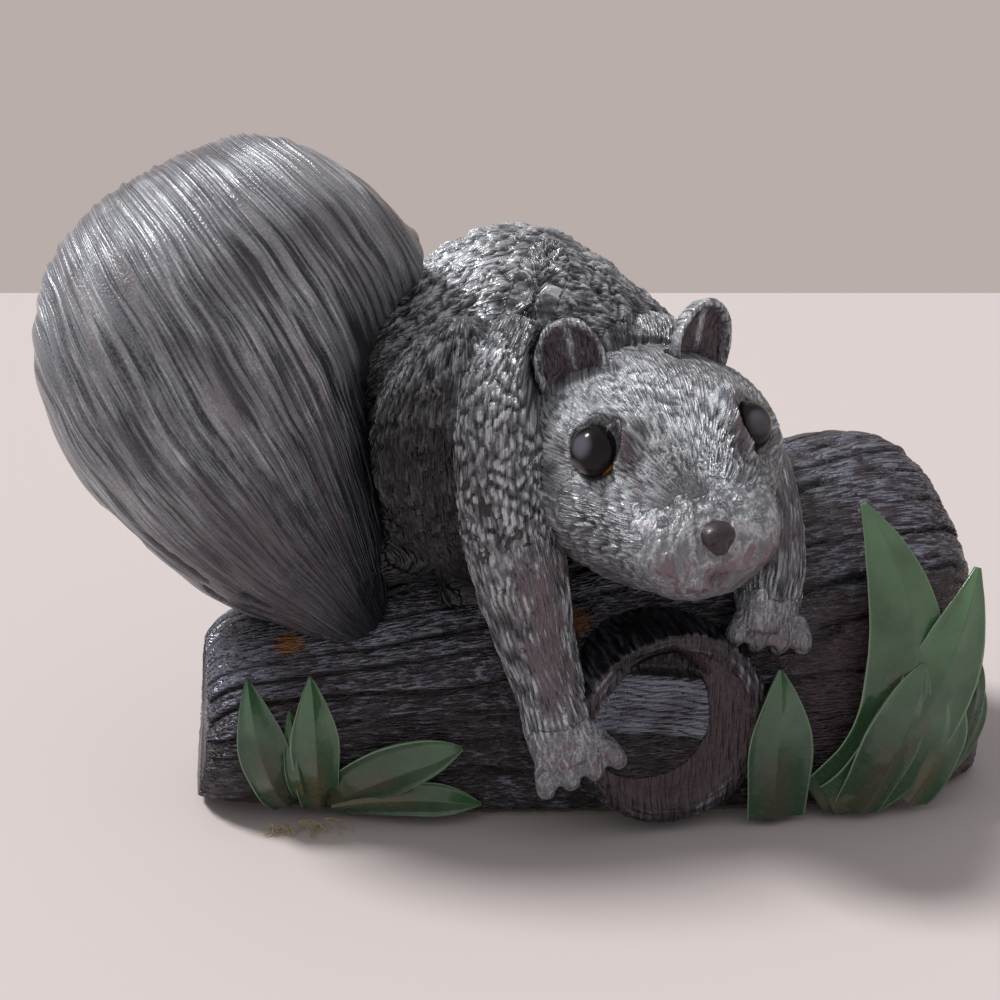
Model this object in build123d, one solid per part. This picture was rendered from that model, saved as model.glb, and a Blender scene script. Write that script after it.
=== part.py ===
from build123d import *
from math import cos, pi, radians, sin, sqrt
import os

# A cast squirrel figurine that crouches on a tapered log, in millimetres.
# The origin is the middle of the felt pad's underside. The log lies along X with its thin end
# at -X, the squirrel's chest is towards +X, its face is turned to -Y, and +Z is up.

# Facets round a form, and steps between two stations of its table
BODY_SIDES = 24
TAIL_SIDES = 30
LIMB_SIDES = 14
TOE_SIDES = 7
BODY_STEPS = 2
LIMB_STEPS = 2

# Log, a D section that grows from the left end to the right
LOG_LENGTH = 160.5
LOG_LEFT_HALF_WIDTH = 21.5
LOG_RIGHT_HALF_WIDTH = 41.0
LOG_LEFT_HEIGHT = 36.0
LOG_RIGHT_HEIGHT = 68.0
LOG_LEFT_WIDEST_SHARE = 0.48
LOG_RIGHT_WIDEST_SHARE = 0.36
LOG_END_SLANT_SHARE = 0.08
LOG_END_LEAN_SHARE = 0.10
# along the log, how much of its width and height is there, and how flat its underside is
LOG_SHARES = [
    (0.000, 0.80, 0.86, 0.30), (0.010, 0.90, 0.93, 0.32), (0.030, 0.98, 0.98, 0.36),
    (0.070, 1.01, 1.00, 0.45), (0.180, 1.00, 0.98, 0.70), (0.330, 1.03, 0.98, 0.90),
    (0.500, 1.12, 1.00, 0.94), (0.660, 1.17, 1.00, 0.95), (0.800, 1.18, 1.00, 0.95),
    (0.900, 1.08, 1.00, 0.94), (0.955, 0.97, 0.98, 0.93), (0.985, 0.86, 0.95, 0.92),
    (1.000, 0.76, 0.90, 0.90),
]

# Branch stub on the log's near side, sawn square and a little hollow
STUB_AT_X = 8.0
STUB_CENTRE_HEIGHT = 21.8
STUB_RADIUS = 20.0
STUB_COLLAR = 2.2
STUB_PROUD = 2.6
STUB_HOLLOW_DEPTH = 2.0
# how far out from the log's middle, and how much of the radius, of the bark
STUB_BARK_SHARES = [(0.40, 1.04), (0.93, 1.00), (0.98, 0.98), (1.00, 0.94)]
# how deep, and how much of the hollow's own radius
STUB_HOLLOW_SHARES = [(0.25, 1.00), (1.00, 0.85)]

# Felt pad under the log
PAD_THICKNESS = 1.5
PAD_INSET = 1.6

# Torso, over the log's top
TORSO_BACK_X = -46.5
TORSO_LENGTH = 80.0
TORSO_WIDTH = 54.0
TORSO_HEIGHT = 65.0
TORSO_SINK = 3.0
TORSO_TUFT_DEPTH = 0.9
# along, to the near side, height of the centre, half width, rise and drop, of its three sizes
TORSO_SHARES = [
    (0.000, -0.03, 0.340, 0.240, 0.280, 0.320), (0.050, -0.03, 0.370, 0.350, 0.380, 0.390),
    (0.175, -0.03, 0.420, 0.430, 0.450, 0.440), (0.325, -0.03, 0.450, 0.470, 0.535, 0.420),
    (0.475, -0.02, 0.465, 0.490, 0.535, 0.460), (0.625, 0.00, 0.465, 0.463, 0.450, 0.430),
    (0.775, 0.04, 0.450, 0.390, 0.318, 0.350), (0.890, 0.08, 0.434, 0.290, 0.200, 0.260),
    (1.000, 0.11, 0.420, 0.120, 0.080, 0.110),
]

# Head, turned to the near side and a little down, placed by shares of the torso's sizes
HEAD_PLACE_SHARES = (0.656, 0.610, 0.390)
HEAD_YAW = 1.5
HEAD_PITCH = 7.5
HEAD_ROLL = -5.0
HEAD_LENGTH = 55.0
HEAD_WIDTH = 50.0
HEAD_HEIGHT = 40.0
HEAD_BACK_SHARE = 0.44
# along, height of the centre, half width, rise and drop, of the head's three sizes
HEAD_SHARES = [
    (0.000, 0.060, 0.160, 0.180, 0.200), (0.080, 0.040, 0.350, 0.330, 0.380),
    (0.220, 0.010, 0.480, 0.430, 0.500), (0.380, -0.010, 0.525, 0.450, 0.560),
    (0.520, -0.030, 0.490, 0.430, 0.560), (0.640, -0.065, 0.405, 0.385, 0.505),
    (0.750, -0.105, 0.335, 0.310, 0.425), (0.850, -0.135, 0.285, 0.240, 0.355),
    (0.940, -0.150, 0.220, 0.180, 0.290), (1.000, -0.165, 0.120, 0.100, 0.180),
]

# Neck, from inside the shoulders to the back of the head, in shares of the head's sizes
NECK_WIDTH_SHARE = 0.96
NECK_HEIGHT_SHARE = 1.05
NECK_RISE_SHARE = 0.05
NECK_START_SHARE = 0.15
NECK_SIDES = 18
# along the neck, and how much of its width and height
NECK_SHARES = [(0.00, 0.96), (0.35, 1.02), (0.70, 1.00), (1.00, 0.90)]

# Eyes, glass domes on painted backs, in sockets of the head
EYE_DIAMETER = 10.0
EYE_ALONG_SHARE = 0.615
EYE_ASIDE_SHARE = 0.305
EYE_HEIGHT_SHARE = 0.180
EYE_OUTWARD = 56.0
EYE_UPWARD = 12.0
EYE_SEAT_DEPTH = 4.0
EYE_BULGE_SHARE = 0.86
EYE_CROWN_SHARE = 0.94
EYE_BACK_THICKNESS = 0.8
EYE_CLEARANCE = 0.15
EYE_SIDES = 18
EYE_BANDS = 6

# Ears, cupped
EAR_WIDTH = 14.5
EAR_HEIGHT = 18.0
EAR_THICKNESS = 4.2
EAR_CUP_DEPTH = 2.2
EAR_RIM = 1.5
EAR_CREST = 0.5
EAR_LIFT = 4.6
EAR_ALONG_SHARE = 0.29
EAR_ASIDE_SHARE = 0.255
EAR_HEIGHT_SHARE = 0.320
EAR_TILT_OUT = 8.0
EAR_TURN_OUT = 18.0
# how far back, of the thickness, and how much of the outline
EAR_BACK_SHARES = [(1.0, 0.55), (0.8, 0.80), (0.4, 0.95), (0.0, 1.00)]
# how deep, of the cup, and how much of the outline inside the rim
EAR_CUP_SHARES = [(0.2, 1.00), (1.0, 0.60)]

# Nose button on the muzzle's end
NOSE_WIDTH = 7.0
NOSE_HEIGHT = 6.2
NOSE_DEPTH = 4.6
NOSE_HEIGHT_SHARE = -0.095
# forward, of the nose's depth, and how much of its outline
NOSE_SHARES = [(-1.00, 0.80), (-0.30, 1.00), (0.15, 0.92), (0.38, 0.62), (0.46, 0.25)]

# Tail, a broad brush that stands up from its root on the log and curls over at the top
TAIL_AT_X = -107.0
TAIL_AT_Y = -5.0
TAIL_LENGTH = 77.0
TAIL_HEIGHT = 100.0
TAIL_HALF_WIDTH = 27.0
TAIL_SINK = 13.5
TAIL_TUFT_DEPTH = 1.4
# inner edge along and up, outer edge along and up, half width, of the tail's three sizes
TAIL_SHARES = [
    (0.860, 0.010, 0.700, 0.000, 0.36), (0.862, 0.130, 0.400, 0.120, 0.62),
    (0.855, 0.260, 0.170, 0.300, 0.82), (0.840, 0.370, 0.045, 0.460, 0.94),
    (0.820, 0.470, 0.005, 0.600, 1.00), (0.815, 0.550, 0.060, 0.780, 1.00),
    (0.835, 0.610, 0.240, 0.915, 0.97), (0.870, 0.660, 0.520, 1.000, 0.86),
    (0.905, 0.690, 0.760, 0.945, 0.64), (0.940, 0.710, 0.945, 0.820, 0.32),
]

# Forelegs, from shoulders placed by shares of the torso's length, width and height
FORELEG_WIDTH = 17.0
FORELEG_RIGHT_SHOULDER_SHARES = (0.356, 0.390, 0.755)
FORELEG_RIGHT_FORWARD = 11.0
FORELEG_RIGHT_PAW_HEIGHT = 16.0
# forward, outward and down, of the reach, then half width and depths out and in, of the width
FORELEG_RIGHT_SHARES = [
    (0.14, 0.00, 0.000, 0.30, 0.26, 0.30), (-0.35, 0.27, 0.120, 0.50, 0.44, 0.50),
    (-0.47, 0.45, 0.260, 0.55, 0.46, 0.55), (-0.44, 0.53, 0.410, 0.53, 0.42, 0.60),
    (-0.21, 0.58, 0.560, 0.53, 0.40, 0.65), (0.04, 0.59, 0.710, 0.44, 0.38, 0.60),
    (0.25, 0.68, 0.820, 0.40, 0.36, 0.60), (0.39, 0.83, 0.895, 0.44, 0.30, 0.60),
    (0.47, 0.95, 0.945, 0.44, 0.24, 0.50), (0.55, 1.02, 0.980, 0.38, 0.19, 0.32),
]
FORELEG_LEFT_SHOULDER_SHARES = (0.806, -0.260, 0.540)
FORELEG_LEFT_FORWARD = 16.5
# how far out and up on the log's section the left paw lies
FORELEG_LEFT_PAW_SHARES = (0.90, 0.64)
# forward, inward and down, of the reach, then half width and depths out and in, of the width
FORELEG_LEFT_SHARES = [
    (-0.30, 0.00, 0.00, 0.34, 0.30, 0.34), (0.30, 0.06, 0.08, 0.50, 0.44, 0.50),
    (0.80, 0.22, 0.20, 0.50, 0.42, 0.50), (1.00, 0.42, 0.30, 0.46, 0.36, 0.50),
    (1.02, 0.62, 0.42, 0.42, 0.34, 0.55), (0.95, 0.80, 0.58, 0.42, 0.30, 0.60),
    (0.80, 0.94, 0.76, 0.46, 0.26, 0.50), (0.70, 1.00, 0.90, 0.46, 0.20, 0.40),
    (0.64, 1.02, 1.00, 0.40, 0.16, 0.30),
]

# Toes of the forepaws and hind feet
TOE_COUNT = 4
TOE_LENGTH = 8.0
TOE_RADIUS = 2.1
TOE_PITCH = 3.6
TOE_SPREAD = 13.0
TOE_ROOT_SHARE = 0.45
# along the toe, how much of its radius, and how far its back is lifted
TOE_SHARES = [
    (0.00, 0.80, 0.00), (0.35, 1.00, 0.25), (0.70, 0.95, 0.30), (0.92, 0.70, 0.10), (1.00, 0.35, -0.10),
]

# Haunches, one on each flank, placed and sized by shares of the torso's length, width and height
HAUNCH_PLACE_SHARES = (0.012, 0.390, -0.010)
HAUNCH_SIZE_SHARES = (0.425, 0.370, 0.800)
# up, forward, half length, half width, of the haunch's three sizes
HAUNCH_SHARES = [
    (0.00, 0.66, 0.14, 0.22), (0.08, 0.60, 0.30, 0.38), (0.25, 0.54, 0.43, 0.47),
    (0.45, 0.50, 0.50, 0.50), (0.65, 0.49, 0.49, 0.47), (0.83, 0.50, 0.38, 0.36),
    (0.95, 0.50, 0.22, 0.22), (1.00, 0.50, 0.08, 0.09),
]

# Hind feet, flat on the log's top under the haunches
HIND_FOOT_PLACE_SHARES = (0.194, 0.200)
HIND_FOOT_LENGTH = 20.0
HIND_FOOT_WIDTH = 10.8
HIND_FOOT_HEIGHT = 13.0
HIND_FOOT_SINK = 4.0
HIND_FOOT_SPLAY = 24.0
# along, half width and height, of the foot's three sizes
HIND_FOOT_SHARES = [
    (0.00, 0.22, 0.75), (0.12, 0.42, 1.00), (0.35, 0.50, 0.85), (0.65, 0.47, 0.50), (1.00, 0.40, 0.30),
]

# Leaves at the log's foot, cast in relief as wedges whose backs run into the log
LEAF_REACH = 60.0
LEAF_ROOT_DEPTH = 9.0
LEAF_FOLD = 0.9
LEAF_LEFT_AT_X = -58.0
LEAF_RIGHT_AT_X = 42.0
LEAF_STEPS = 2
# along the blade, and how much of its half width
LEAF_OUTLINE_SHARES = [
    (0.00, 0.70), (0.15, 0.83), (0.35, 0.96), (0.55, 1.00), (0.72, 0.86), (0.87, 0.52), (1.00, 0.06),
]
# of the leaves' reach: root, middle and tip, each along the log from its cluster, out from the
# log's widest side, and up; then the half width. A blade in front comes first.
LEAF_RIGHT_SHARES = [
    ((0.24, 0.060, 0.02), (0.335, 0.080, 0.23), (0.350, 0.060, 0.47), 0.098),
    ((0.05, 0.060, 0.02), (0.15, 0.090, 0.26), (0.270, 0.070, 0.51), 0.108),
    ((-0.02, 0.045, 0.02), (0.25, 0.080, 0.30), (0.485, 0.050, 0.80), 0.145),
    ((-0.22, 0.045, -0.12), (-0.21, 0.065, 0.19), (-0.205, 0.030, 0.51), 0.112),
    ((-0.05, 0.020, 0.02), (0.210, 0.050, 0.45), (0.105, -0.120, 1.02), 0.150),
    ((0.40, 0.010, 0.04), (0.49, 0.040, 0.26), (0.520, 0.020, 0.50), 0.050),
    ((0.42, -0.020, 0.04), (0.55, 0.010, 0.20), (0.575, 0.000, 0.38), 0.045),
]
LEAF_LEFT_SHARES = [
    ((0.00, -0.100, 0.03), (-0.025, 0.040, 0.27), (-0.03, 0.020, 0.53), 0.078),
    ((0.03, -0.090, 0.05), (0.21, 0.050, 0.20), (0.445, 0.040, 0.265), 0.092),
    ((0.05, -0.080, 0.03), (0.28, 0.010, 0.08), (0.520, -0.015, 0.035), 0.060),
    ((-0.09, -0.140, 0.03), (-0.175, 0.020, 0.24), (-0.220, -0.040, 0.51), 0.080),
    ((-0.04, -0.120, 0.05), (-0.08, 0.010, 0.20), (-0.095, -0.020, 0.40), 0.040),
]


def ring(centre, across, up, half, rise, drop, sides):
    """Corners of a closed section: half an ellipse above its centre and half of another below."""
    corners = []
    for side in range(sides):
        turn = 2 * pi * side / sides
        lift = rise if sin(turn) > 0 else drop
        corners.append(centre + across * (half * cos(turn)) + up * (lift * sin(turn)))
    return corners


def tufted(corners, depth, first):
    """A section whose corners stand out and in by turns, as fur does in ridges and grooves."""
    centre = sum(corners, Vector(0, 0, 0)) / len(corners)
    made = []
    for side, corner in enumerate(corners):
        stand = depth / 2 if (side + first) % 2 else -depth / 2
        made.append(corner + (corner - centre).normalized() * stand)
    return made


def round_rings(start, axis, across, up, profile, sides):
    """Round sections along an axis, from pairs of distance and radius."""
    return [
        ring(start + axis * distance, across, up, radius, radius, radius, sides)
        for distance, radius in profile
    ]


def skin(rings):
    """A closed form with flat three-cornered facets between its rings and flat ends."""
    faces = [Face(Wire.make_polygon(rings[0])), Face(Wire.make_polygon(rings[-1]))]
    for near, far in zip(rings, rings[1:]):
        for side in range(len(near)):
            after = (side + 1) % len(near)
            faces.append(Face(Wire.make_polygon([near[side], near[after], far[after]])))
            faces.append(Face(Wire.make_polygon([near[side], far[after], far[side]])))
    form = Solid(Shell(faces))
    return form if form.volume > 0 else -form


def between(before, here, after, beyond, t):
    """A value on the smooth curve through four others, at t from the second to the third."""
    bend = before - 2.5 * here + 2 * after - beyond / 2
    twist = 1.5 * (here - after) + (beyond - before) / 2
    return here + t * ((after - before) / 2 + t * (bend + t * twist))


def eased(rows, steps):
    """Rows of a table with others between them, on a smooth curve through all of them."""
    found = []
    last = len(rows) - 1
    for at in range(last):
        near = [rows[max(at - 1, 0)], rows[at], rows[at + 1], rows[min(at + 2, last)]]
        for step in range(steps):
            found.append([between(*values, step / steps) for values in zip(*near)])
    return found + [list(rows[-1])]


def mixed(low, high, share):
    return low + (high - low) * share


def table_at(rows, along):
    """The row of a table at a share along it, between the two rows on either side."""
    for before, after in zip(rows, rows[1:]):
        if along <= after[0]:
            break
    part = (along - before[0]) / (after[0] - before[0])
    return [mixed(low, high, max(0, min(part, 1))) for low, high in zip(before, after)]


def largest(form):
    """The biggest solid of a cut form."""
    return max(form.solids(), key=lambda solid: solid.volume)


def without(form, *others):
    """The form with its neighbours cut away, so that the pieces meet face to face."""
    for other in others:
        form = largest(form - other)
    return form


def log_half_width(x):
    along, width, height, flat = table_at(LOG_SHARES, x / LOG_LENGTH + 1 / 2)
    return mixed(LOG_LEFT_HALF_WIDTH, LOG_RIGHT_HALF_WIDTH, along) * width


def log_top(x):
    """Height of the log's top line above the surface it stands on."""
    along, width, height, flat = table_at(LOG_SHARES, x / LOG_LENGTH + 1 / 2)
    return PAD_THICKNESS + mixed(LOG_LEFT_HEIGHT, LOG_RIGHT_HEIGHT, along) * height


def make_log():
    """The log: D sections along X that grow to the right, with both ends rounded and leaning in."""
    rings = []
    for along, width, height, flat in eased(LOG_SHARES, BODY_STEPS):
        toward_end = 2 * along - 1
        full = mixed(LOG_LEFT_HEIGHT, LOG_RIGHT_HEIGHT, along)
        widest = full * mixed(LOG_LEFT_WIDEST_SHARE, LOG_RIGHT_WIDEST_SHARE, along)
        half = mixed(LOG_LEFT_HALF_WIDTH, LOG_RIGHT_HALF_WIDTH, along) * width
        across = Vector(-LOG_END_SLANT_SHARE * toward_end, 1, 0)
        up = Vector(-LOG_END_LEAN_SHARE * toward_end, 0, 1)
        centre = Vector(LOG_LENGTH * toward_end / 2, 0, PAD_THICKNESS) + up * widest
        drop = widest / sqrt(1 - flat ** 2)
        corners = ring(centre, across, up, half, full * height - widest, drop, BODY_SIDES)
        rings.append([corner + up * max(PAD_THICKNESS - corner.Z, 0) for corner in corners])
    return skin(rings)


def stub_reach():
    """How far out from the log's middle the stub's sawn face is."""
    return log_half_width(STUB_AT_X + STUB_RADIUS) + STUB_PROUD


def make_stub(log):
    """The branch stub: a short round trunk with a bark collar, sawn off and a little hollow."""
    reach = stub_reach()
    inner = STUB_RADIUS - STUB_COLLAR
    profile = [(reach * out, STUB_RADIUS * full) for out, full in STUB_BARK_SHARES]
    profile += [(reach - STUB_HOLLOW_DEPTH * deep, inner * full) for deep, full in STUB_HOLLOW_SHARES]
    start = Vector(STUB_AT_X, 0, STUB_CENTRE_HEIGHT)
    rings = round_rings(start, Vector(0, -1, 0), Vector(1, 0, 0), Vector(0, 0, 1), profile, BODY_SIDES)
    return without(skin(rings), log)


def make_pad():
    """The felt pad: the outline of the log's flat underside, set back from its edge."""
    halves = []
    for along, width, height, flat in LOG_SHARES[2:-1]:
        x = LOG_LENGTH * (along - 1 / 2)
        halves.append((x, log_half_width(x) * flat - PAD_INSET))
    near = [(x, -half) for x, half in halves]
    far = [(x, half) for x, half in reversed(halves)]
    return extrude(make_face(Polyline(near + far, close=True)), PAD_THICKNESS)


def on_torso(along, near, height):
    """A point by shares of the torso's length, of its width towards the near side, and its height."""
    back = Vector(TORSO_BACK_X, 0, log_top(TORSO_BACK_X + TORSO_LENGTH / 2) - TORSO_SINK)
    return back + Vector(TORSO_LENGTH * along, -TORSO_WIDTH * near, TORSO_HEIGHT * height)


def make_torso():
    """The torso: sections along X that swell over the shoulders and the back, in staggered tufts."""
    rings = []
    for at, (along, near, height, half, rise, drop) in enumerate(eased(TORSO_SHARES, BODY_STEPS)):
        centre = on_torso(along, near, height)
        sizes = (TORSO_WIDTH * half, TORSO_HEIGHT * rise, TORSO_HEIGHT * drop)
        corners = ring(centre, Vector(0, -1, 0), Vector(0, 0, 1), *sizes, BODY_SIDES)
        rings.append(tufted(corners, TORSO_TUFT_DEPTH, at))
    return skin(rings)


class HeadFrame:
    """The head's middle and its own directions, from its turn, nod and tilt."""

    def __init__(self):
        yaw, pitch, roll = radians(HEAD_YAW), radians(HEAD_PITCH), radians(HEAD_ROLL)
        level = Vector(-cos(yaw), -sin(yaw), 0)
        self.middle = on_torso(*HEAD_PLACE_SHARES)
        self.forward = Vector(sin(yaw) * cos(pitch), -cos(yaw) * cos(pitch), -sin(pitch))
        upright = level.cross(self.forward)
        self.right = level * cos(roll) + upright * sin(roll)
        self.up = upright * cos(roll) - level * sin(roll)

    def at(self, along, aside, height):
        """A point by shares of the head's length from its back, its width and its height."""
        ahead = self.forward * (HEAD_LENGTH * (along - HEAD_BACK_SHARE))
        return self.middle + ahead + self.right * (HEAD_WIDTH * aside) + self.up * (HEAD_HEIGHT * height)


def make_head(frame):
    """The head: sections along its forward axis, broad at the cheeks and narrow at the muzzle."""
    rings = []
    for along, height, half, rise, drop in eased(HEAD_SHARES, BODY_STEPS):
        sizes = (HEAD_WIDTH * half, HEAD_HEIGHT * rise, HEAD_HEIGHT * drop)
        rings.append(ring(frame.at(along, 0, height), frame.right, frame.up, *sizes, BODY_SIDES))
    return skin(rings)


def make_neck(frame):
    """The neck: a thick ruff from inside the shoulders to inside the back of the head."""
    along, height = HEAD_SHARES[2][:2]
    end = frame.at(along, 0, height)
    start = Vector(end.X, -TORSO_WIDTH * NECK_START_SHARE, end.Z + HEAD_HEIGHT * NECK_RISE_SHARE)
    rings = []
    for along, full in NECK_SHARES:
        centre = start + (end - start) * along
        half = HEAD_WIDTH * NECK_WIDTH_SHARE / 2 * full
        rise = HEAD_HEIGHT * NECK_HEIGHT_SHARE / 2 * full
        rings.append(ring(centre, Vector(-1, 0, 0), Vector(0, 0, 1), half, rise, rise, NECK_SIDES))
    return skin(rings)


def make_eye(frame, side):
    """An eye's glass dome, its painted back and the socket for both; side is 1 on its right."""
    outward, upward = radians(EYE_OUTWARD), radians(EYE_UPWARD)
    level = frame.forward * cos(outward) + frame.right * (side * sin(outward))
    axis = level * cos(upward) + frame.up * sin(upward)
    across = axis.cross(frame.up).normalized()
    place = frame.at(EYE_ALONG_SHARE, side * EYE_ASIDE_SHARE, EYE_HEIGHT_SHARE)
    radius = EYE_DIAMETER / 2
    wall = radius + EYE_CLEARANCE
    floor = -EYE_SEAT_DEPTH - EYE_BACK_THICKNESS
    dome = [(-EYE_SEAT_DEPTH, radius)]
    for band in range(EYE_BANDS + 1):
        turn = pi / 2 * EYE_CROWN_SHARE * band / EYE_BANDS
        dome.append((radius * EYE_BULGE_SHARE * sin(turn), radius * cos(turn)))
    back = [(floor, radius), (-EYE_SEAT_DEPTH, radius)]
    socket = [(floor, wall), (EYE_DIAMETER, wall)]
    return [
        skin(round_rings(place, axis, across, across.cross(axis), profile, EYE_SIDES))
        for profile in (dome, back, socket)
    ]


def make_ear(frame, side):
    """A cupped ear: its outline steps forward from the back, over the rim and down into the cup."""
    out, turned = radians(EAR_TILT_OUT), radians(EAR_TURN_OUT)
    up = frame.up * cos(out) + frame.right * (side * sin(out))
    toward = frame.forward * cos(turned) + frame.right * (side * sin(turned))
    across = toward.cross(up).normalized()
    facing = up.cross(across).normalized()
    place = frame.at(EAR_ALONG_SHARE, side * EAR_ASIDE_SHARE, EAR_HEIGHT_SHARE) + up * EAR_LIFT
    rim = EAR_RIM / (EAR_WIDTH / 2)
    profile = [(-EAR_THICKNESS * back, full) for back, full in EAR_BACK_SHARES]
    profile.append((EAR_CREST, 1 - rim / 2))
    profile += [(-EAR_CUP_DEPTH * deep, (1 - rim) * full) for deep, full in EAR_CUP_SHARES]
    rings = []
    for depth, full in profile:
        rise = EAR_HEIGHT / 2 * full
        rings.append(ring(place + facing * depth, across, up, EAR_WIDTH / 2 * full, rise, rise, LIMB_SIDES))
    return skin(rings)


def make_nose(frame):
    """The nose button: a small rounded block on the muzzle's end."""
    middle = frame.at(1, 0, NOSE_HEIGHT_SHARE)
    rings = []
    for ahead, full in NOSE_SHARES:
        rise = NOSE_HEIGHT / 2 * full
        centre = middle + frame.forward * (NOSE_DEPTH * ahead)
        rings.append(ring(centre, frame.right, frame.up, NOSE_WIDTH / 2 * full, rise, rise, LIMB_SIDES))
    return skin(rings)


def make_tail():
    """The tail: ridged sections that hold the cross direction and fan round from root to tip."""
    rings = []
    foot = Vector(TAIL_AT_X, TAIL_AT_Y, log_top(TAIL_AT_X + TAIL_LENGTH) - TAIL_SINK)
    for inner_along, inner_up, outer_along, outer_up, half in eased(TAIL_SHARES, BODY_STEPS):
        inner = foot + Vector(TAIL_LENGTH * inner_along, 0, TAIL_HEIGHT * inner_up)
        outer = foot + Vector(TAIL_LENGTH * outer_along, 0, TAIL_HEIGHT * outer_up)
        across = (outer - inner).normalized()
        width = TAIL_HALF_WIDTH * half
        reach = (outer - inner).length / 2
        corners = ring((inner + outer) / 2, across, Vector(0, -1, 0), reach, width, width, TAIL_SIDES)
        rings.append(tufted(corners, TAIL_TUFT_DEPTH, 0))
    return skin(rings)


def toes(wrist, forward, across, out):
    """Toes that fan out from a paw's end, each tapering to a blunt tip."""
    made = []
    for toe in range(TOE_COUNT):
        spread = toe - (TOE_COUNT - 1) / 2
        turn = radians(TOE_SPREAD * spread)
        along = forward * cos(turn) + across * sin(turn)
        beside = across * cos(turn) - forward * sin(turn)
        root = wrist + across * (TOE_PITCH * spread) - forward * (TOE_LENGTH * TOE_ROOT_SHARE)
        rings = []
        for share, full, lift in TOE_SHARES:
            radius = TOE_RADIUS * full
            centre = root + along * (TOE_LENGTH * share) + out * (TOE_RADIUS * lift)
            rings.append(ring(centre, beside, out, radius, radius, radius, TOE_SIDES))
        made.append(skin(rings))
    return made


def make_foreleg(shoulder, paw, table, outward):
    """A foreleg: sections square to its path from the shoulder to the paw, then toes."""
    rows = eased(table, LIMB_STEPS)
    reach = paw - shoulder
    points = [shoulder + Vector(reach.X * row[0], reach.Y * row[1], reach.Z * row[2]) for row in rows]
    rings = []
    for at, (point, row) in enumerate(zip(points, rows)):
        along = (points[min(at + 1, len(points) - 1)] - points[max(at - 1, 0)]).normalized()
        across = along.cross(outward).normalized()
        sizes = [FORELEG_WIDTH * share for share in row[3:]]
        rings.append(ring(point, across, across.cross(along), *sizes, LIMB_SIDES))
    along = (points[-1] - points[-2]).normalized()
    across = along.cross(Vector(0, -1, 0)).normalized()
    return skin(rings).fuse(*toes(points[-1], along, across, across.cross(along)))


def make_forelegs():
    """Both forelegs: the right one down on the stub's face, the left one over the log's top."""
    shoulder = on_torso(*FORELEG_RIGHT_SHOULDER_SHARES)
    paw = Vector(shoulder.X + FORELEG_RIGHT_FORWARD, -stub_reach(), FORELEG_RIGHT_PAW_HEIGHT)
    right = make_foreleg(shoulder, paw, FORELEG_RIGHT_SHARES, Vector(0, -1, 0))
    shoulder = on_torso(*FORELEG_LEFT_SHOULDER_SHARES)
    out, up = FORELEG_LEFT_PAW_SHARES
    x = shoulder.X + FORELEG_LEFT_FORWARD
    paw = Vector(x, -log_half_width(x) * out, log_top(x) * up)
    left = make_foreleg(shoulder, paw, FORELEG_LEFT_SHARES, Vector(1, -1, 1))
    return right, left


def make_haunch(side):
    """A haunch: level sections that swell outwards on one flank; side is -1 near and 1 far."""
    rings = []
    along, near, height = HAUNCH_PLACE_SHARES
    foot = on_torso(along, -side * near, height)
    length, width, full_height = HAUNCH_SIZE_SHARES
    for high, forward, half_length, half_width in eased(HAUNCH_SHARES, LIMB_STEPS):
        centre = foot + Vector(TORSO_LENGTH * length * forward, 0, TORSO_HEIGHT * full_height * high)
        wide = TORSO_WIDTH * width * half_width
        long = TORSO_LENGTH * length * half_length
        rings.append(ring(centre, Vector(1, 0, 0), Vector(0, 1, 0), long, wide, wide, LIMB_SIDES))
    return skin(rings)


def make_hind_foot(side):
    """A hind foot: flat on the log's top, splayed outwards, with its toes in front."""
    splay = radians(HIND_FOOT_SPLAY)
    forward = Vector(cos(splay), side * sin(splay), 0)
    across = Vector(-sin(splay), side * cos(splay), 0)
    along, near = HIND_FOOT_PLACE_SHARES
    heel = on_torso(along, -side * near, 0)
    rings = []
    for along, half, high in eased(HIND_FOOT_SHARES, LIMB_STEPS):
        centre = heel + forward * (HIND_FOOT_LENGTH * along)
        centre.Z = log_top(centre.X) - HIND_FOOT_SINK
        sizes = (HIND_FOOT_WIDTH * half, HIND_FOOT_HEIGHT * high, HIND_FOOT_SINK)
        rings.append(ring(centre, across, Vector(0, 0, 1), *sizes, LIMB_SIDES))
    return skin(rings).fuse(*toes(centre, forward, across, Vector(0, 0, 1)))


def make_leaf(cluster_x, root, middle, tip, half_share):
    """A blade: wedge sections along a bowed midrib, with a raised fold and a back inside the log."""
    points = []
    for along, out, up in (root, middle, tip):
        x = cluster_x + LEAF_REACH * along
        points.append(Vector(x, -log_half_width(x) - LEAF_REACH * out, PAD_THICKNESS + LEAF_REACH * up))
    bow = points[1] * 2 - (points[0] + points[2]) / 2
    rings = []
    for along, full in eased(LEAF_OUTLINE_SHARES, LEAF_STEPS):
        rest = 1 - along
        centre = points[0] * (rest * rest) + bow * (2 * rest * along) + points[2] * (along * along)
        heading = (bow - points[0]) * rest + (points[2] - bow) * along
        across = heading.cross(Vector(0, -1, 0)).normalized()
        out = across.cross(heading).normalized()
        half = across * (LEAF_REACH * half_share * full)
        back = out * (LEAF_ROOT_DEPTH * full)
        rings.append([centre - half, centre + out * LEAF_FOLD, centre + half, centre - back])
    below = Pos(cluster_x, 0, PAD_THICKNESS - LEAF_REACH / 2) * Box(LOG_LENGTH, LOG_LENGTH, LEAF_REACH)
    return largest(skin(rings) - below)


def make_cluster(name, cluster_x, table, neighbours):
    """A cluster of leaves, each cut by its neighbours and by the blades in front of it."""
    blades = {}
    for number, (root, middle, tip, half_share) in enumerate(table, 1):
        blade = make_leaf(cluster_x, root, middle, tip, half_share)
        blades[f"leaf_{name}_{number}"] = without(blade, *neighbours, *blades.values())
    return blades


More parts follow.
